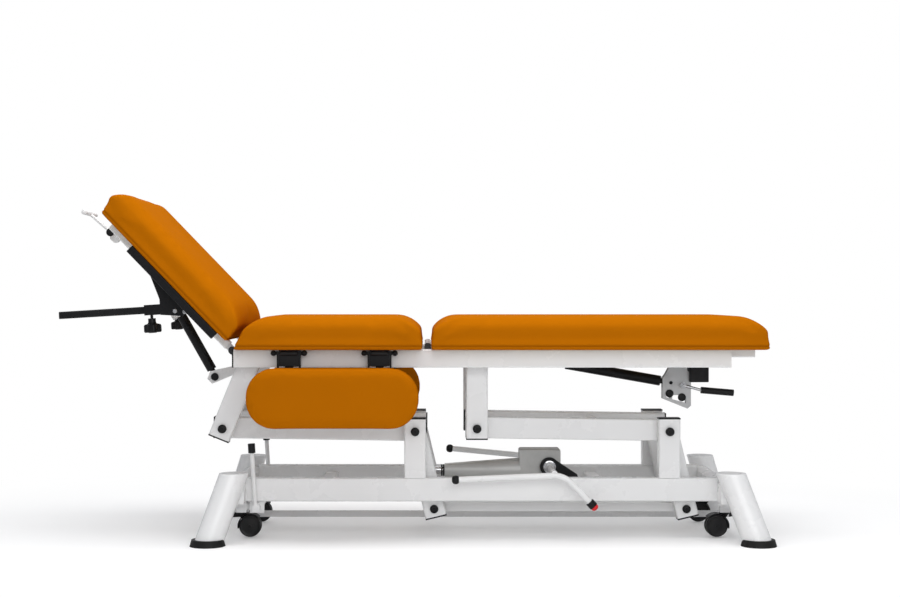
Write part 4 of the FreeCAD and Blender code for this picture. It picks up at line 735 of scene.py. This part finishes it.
# Small turned fittings
# Plated bolt heads hold the bar sleeves, round black caps close the bracket's bolts and the tee
# handle's pivot, a plated hub faces the pedal crank, and two black wiper rings close the pump round
# its ram.
def fitting(name, outline, x, y, z, side, body, material, axis="y"):
    """A spun piece that stands on a face: side is -1 for a near face and 1 for a far one."""
    turn = Matrix.Rotation(0 if side > 0 else math.pi, 4, "Z")
    if axis == "x":
        turn = Matrix.Rotation(math.radians(-90), 4, "Z")
    item = spun(name, outline, Matrix.Translation((x, y, z)) @ turn, steps=36)
    item.data.materials.append(material)
    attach(item, body)


bolt_head = [(0.0, 0.0), (0.0062, 0.0), (0.0062, 0.0034), (0.0052, 0.0045), (0.003, 0.0045),
             (0.0026, 0.0028), (0.0, 0.0028)]
round_cap = [(0.0, 0.0), (0.0112, 0.0), (0.0118, 0.0012), (0.0112, 0.0042), (0.008, 0.0054),
             (0.0, 0.0058)]
for side in (-1, 1):
    for number, (x, z) in enumerate(((-0.6575, 0.6345), (-0.631, 0.6325))):
        fitting("sleeve_bolt_%d_%d" % (side + 2, number), bolt_head, x, side * 0.2441, z, side,
                "head_section", plated)
    fitting("tee_cap_%d" % (side + 2), round_cap, -0.881, side * 0.0142, 0.8597, side,
            "head_section", black_plastic)
for number, (x, z) in enumerate(((0.733, 0.3945), (0.7685, 0.3835))):
    fitting("bracket_cap_%d" % number, round_cap, x, -0.0129, z, -1, "upper_frame", black_plastic)
fitting("crank_hub", [(0.0, 0.0), (0.0180, 0.0), (0.0185, 0.001), (0.0180, 0.0042),
                      (0.0150, 0.0052), (0.0145, 0.0036), (0.0, 0.0036)],
        0.384, -0.0479, 0.186, -1, "pedals", plated)
for number, x in enumerate((0.0738, 0.0792)):
    fitting("wiper_ring_%d" % number, [(0.0112, 0.0), (0.0160, 0.0), (0.0168, 0.001),
                                       (0.0168, 0.0032), (0.0160, 0.0042), (0.0112, 0.0042),
                                       (0.0112, 0.0)],
            x, 0.0, 0.172, 1, "base", rubber, axis="x")

# Bolt of the release lever
# The lever's flat end turns on a plated bolt in the cast bracket, whose head shows from the near
# side. It has the same recessed head as the sleeves' bolts.
fitting("lever_bolt", bolt_head, 0.7665, -0.0205, 0.4195, -1, "release_lever", plated)

# Grip of the tee handle
# The cross bar at the end of the thin rod has a thicker white grip with rounded ends, which is
# pushed on over the bar.
tee_low, tee_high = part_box("tee_handle")
tee_radius = 0.0045
tee_grip = spun("tee_grip", [(0.0, -0.0815), (0.0050, -0.0815), (0.0068, -0.0800),
                             (0.0068, 0.0800), (0.0050, 0.0815), (0.0, 0.0815)],
                Matrix.Translation((tee_low.x + tee_radius, 0, tee_high.z - tee_radius)))
tee_grip.data.materials.append(white_coat)
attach(tee_grip, "tee")

# Pin bars of the armrest clamps
# Each clamp carries its cross pin in a rounded black bar along its upper edge, between the two ball
# ends of the pin.
for side in (-1, 1):
    for number, x in enumerate((-0.343, -0.096)):
        bar = spun("clamp_bar_%d_%d" % (side + 2, number),
                   [(0.0, -0.0262), (0.0050, -0.0255), (0.0078, -0.0225), (0.0082, -0.0200),
                    (0.0082, 0.0200), (0.0078, 0.0225), (0.0050, 0.0255), (0.0, 0.0262)],
                   Matrix.Translation((x, side * 0.2765, 0.5195))
                   @ Matrix.Rotation(math.radians(90), 4, "Z"), steps=32)
        bar.data.materials.append(black_plastic)
        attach(bar, "upper_frame")


# Pedal bars
# The rocker is a cross shaft with a straight far bar and a near bar that bends down to the toe end.
# They are round steel bars, welded together and coated in white.
def round_bar(name, path, radius, bend=0.03):
    """A round bar along a path of places; a corner inside the path is rounded off."""
    places = [Vector(place) for place in path]
    data = bpy.data.curves.new(name, "CURVE")
    data.dimensions = "3D"
    data.bevel_depth = radius
    data.bevel_resolution = 7
    data.resolution_u = 16
    data.use_fill_caps = True
    knots = [(places[0], None, None)]
    for before, corner, after in zip(places, places[1:], places[2:]):
        first = corner + (before - corner).normalized() * bend
        last = corner + (after - corner).normalized() * bend
        knots += [(first, None, first.lerp(corner, 0.6)), (last, last.lerp(corner, 0.6), None)]
    knots.append((places[-1], None, None))
    spline = data.splines.new("BEZIER")
    spline.bezier_points.add(len(knots) - 1)
    for point, (place, left, right) in zip(spline.bezier_points, knots):
        point.co = place
        point.handle_left_type = "FREE" if left else "VECTOR"
        point.handle_right_type = "FREE" if right else "VECTOR"
        point.handle_left = left or place
        point.handle_right = right or place
    bring_in(name, data)
    bpy.ops.object.convert(target="MESH")
    item = bpy.context.view_layer.objects.active
    bpy.ops.object.shade_smooth_by_angle(angle=math.radians(40))
    return item


near_end, elbow, toe_end = (0.112, -0.230, 0.170), (0.410, -0.230, 0.1826), (0.489, -0.230, 0.100)
far_end, far_root = (0.102, 0.230, 0.213), (0.390, 0.230, 0.1854)
shaft_near, shaft_far = (0.384, -0.230, 0.186), (0.384, 0.230, 0.186)
bar_radius, shaft_radius = 0.0085, 0.009
for name, path, radius in (("near_pedal_bar", (near_end, elbow, toe_end), bar_radius),
                           ("far_pedal_bar", (far_end, far_root), bar_radius),
                           ("pedal_shaft", (shaft_near, shaft_far), shaft_radius)):
    bar = round_bar(name, path, radius)
    bar.data.materials.append(white_coat)
    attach(bar, "pedals")
    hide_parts("pedal_rocker")

# Pump crank
# A black crank turns with the pedals' shaft and works the pump. It is the CAD piece without the
# plain tips of the bars.
tips_end_x = 0.2
crank_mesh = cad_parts["pedal_tips_and_crank"].data.copy()
crank_mesh.name = "pump_crank"
pump_crank = bring_in("pump_crank", crank_mesh)
for corner in crank_mesh.vertices:
    corner.select = corner.co.x < tips_end_x
for face in crank_mesh.polygons:
    face.select = face.center.x < tips_end_x
bpy.ops.object.mode_set(mode="EDIT")
bpy.ops.mesh.select_mode(type="VERT")
bpy.ops.mesh.delete(type="VERT")
bpy.ops.object.mode_set(mode="OBJECT")
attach(pump_crank, "pedals")
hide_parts("pedal_tips_and_crank")


# Pedal caps and toe button
# The two bars end in round black caps, which are pushed on. The toe end has a black collar with a
# red domed button.
def along_bar(end, inner):
    """A place at a bar's end whose Y axis points outwards along the bar."""
    outward = (Vector(end) - Vector(inner)).normalized()
    turn = Vector((0, 1, 0)).rotation_difference(outward)
    return Matrix.Translation(end) @ turn.to_matrix().to_4x4()


ball_cap = [(0.0, -0.0105), (0.0045, -0.0102), (0.0085, -0.0088), (0.0112, -0.0058),
            (0.0122, -0.0015), (0.0120, 0.0025), (0.0105, 0.0065), (0.0078, 0.0092),
            (0.0042, 0.0105), (0.0, 0.0109)]
for name, end, inner in (("near_pedal_cap", near_end, elbow),
                         ("far_pedal_cap", far_end, far_root)):
    cap = spun(name, ball_cap, along_bar(end, inner), steps=36)
    cap.data.materials.append(black_plastic)
    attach(cap, "pedals")
    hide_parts("pedal_tips_and_crank")
toe = along_bar(toe_end, elbow)
collar = spun("toe_collar", [(0.0088, -0.013), (0.0115, -0.013), (0.0122, -0.0115),
                             (0.0122, 0.0035), (0.0114, 0.005), (0.0100, 0.005)], toe, steps=36)
collar.data.materials.append(black_plastic)
button = spun("toe_button", [(0.0, -0.002), (0.0108, -0.002), (0.0108, 0.0075), (0.0100, 0.0110),
                             (0.0075, 0.0140), (0.0040, 0.0154), (0.0, 0.0158)], toe, steps=36)
button.data.materials.append(red_plastic)
for item, slot in ((collar, "black_plastic"), (button, "red_plastic")):
    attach(item, "pedals")
    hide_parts("red_pedal_tip")

# Stop block under the foot end
# A black moulded block with rounded edges hangs under the end cross tube, behind the release
# bracket.
stop_place, stop_size = (0.8165, 0, 0.4535), (0.055, 0.06, 0.052, 1)
bpy.ops.object.select_all(action="DESELECT")
bpy.ops.mesh.primitive_cube_add(size=1, location=(0, 0, 0))
stop = bpy.context.object
stop.name = "stop_block"
stop.data.transform(Matrix.Translation(stop_place) @ Matrix.Diagonal(stop_size))
bpy.ops.object.mode_set(mode="EDIT")
bpy.ops.mesh.select_all(action="SELECT")
bpy.ops.mesh.bevel(offset=0.003, segments=3, affect="EDGES")
bpy.ops.object.mode_set(mode="OBJECT")
bpy.ops.object.shade_smooth_by_angle(angle=math.radians(35))
stop.data.materials.append(black_plastic)
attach(stop, "upper_frame")
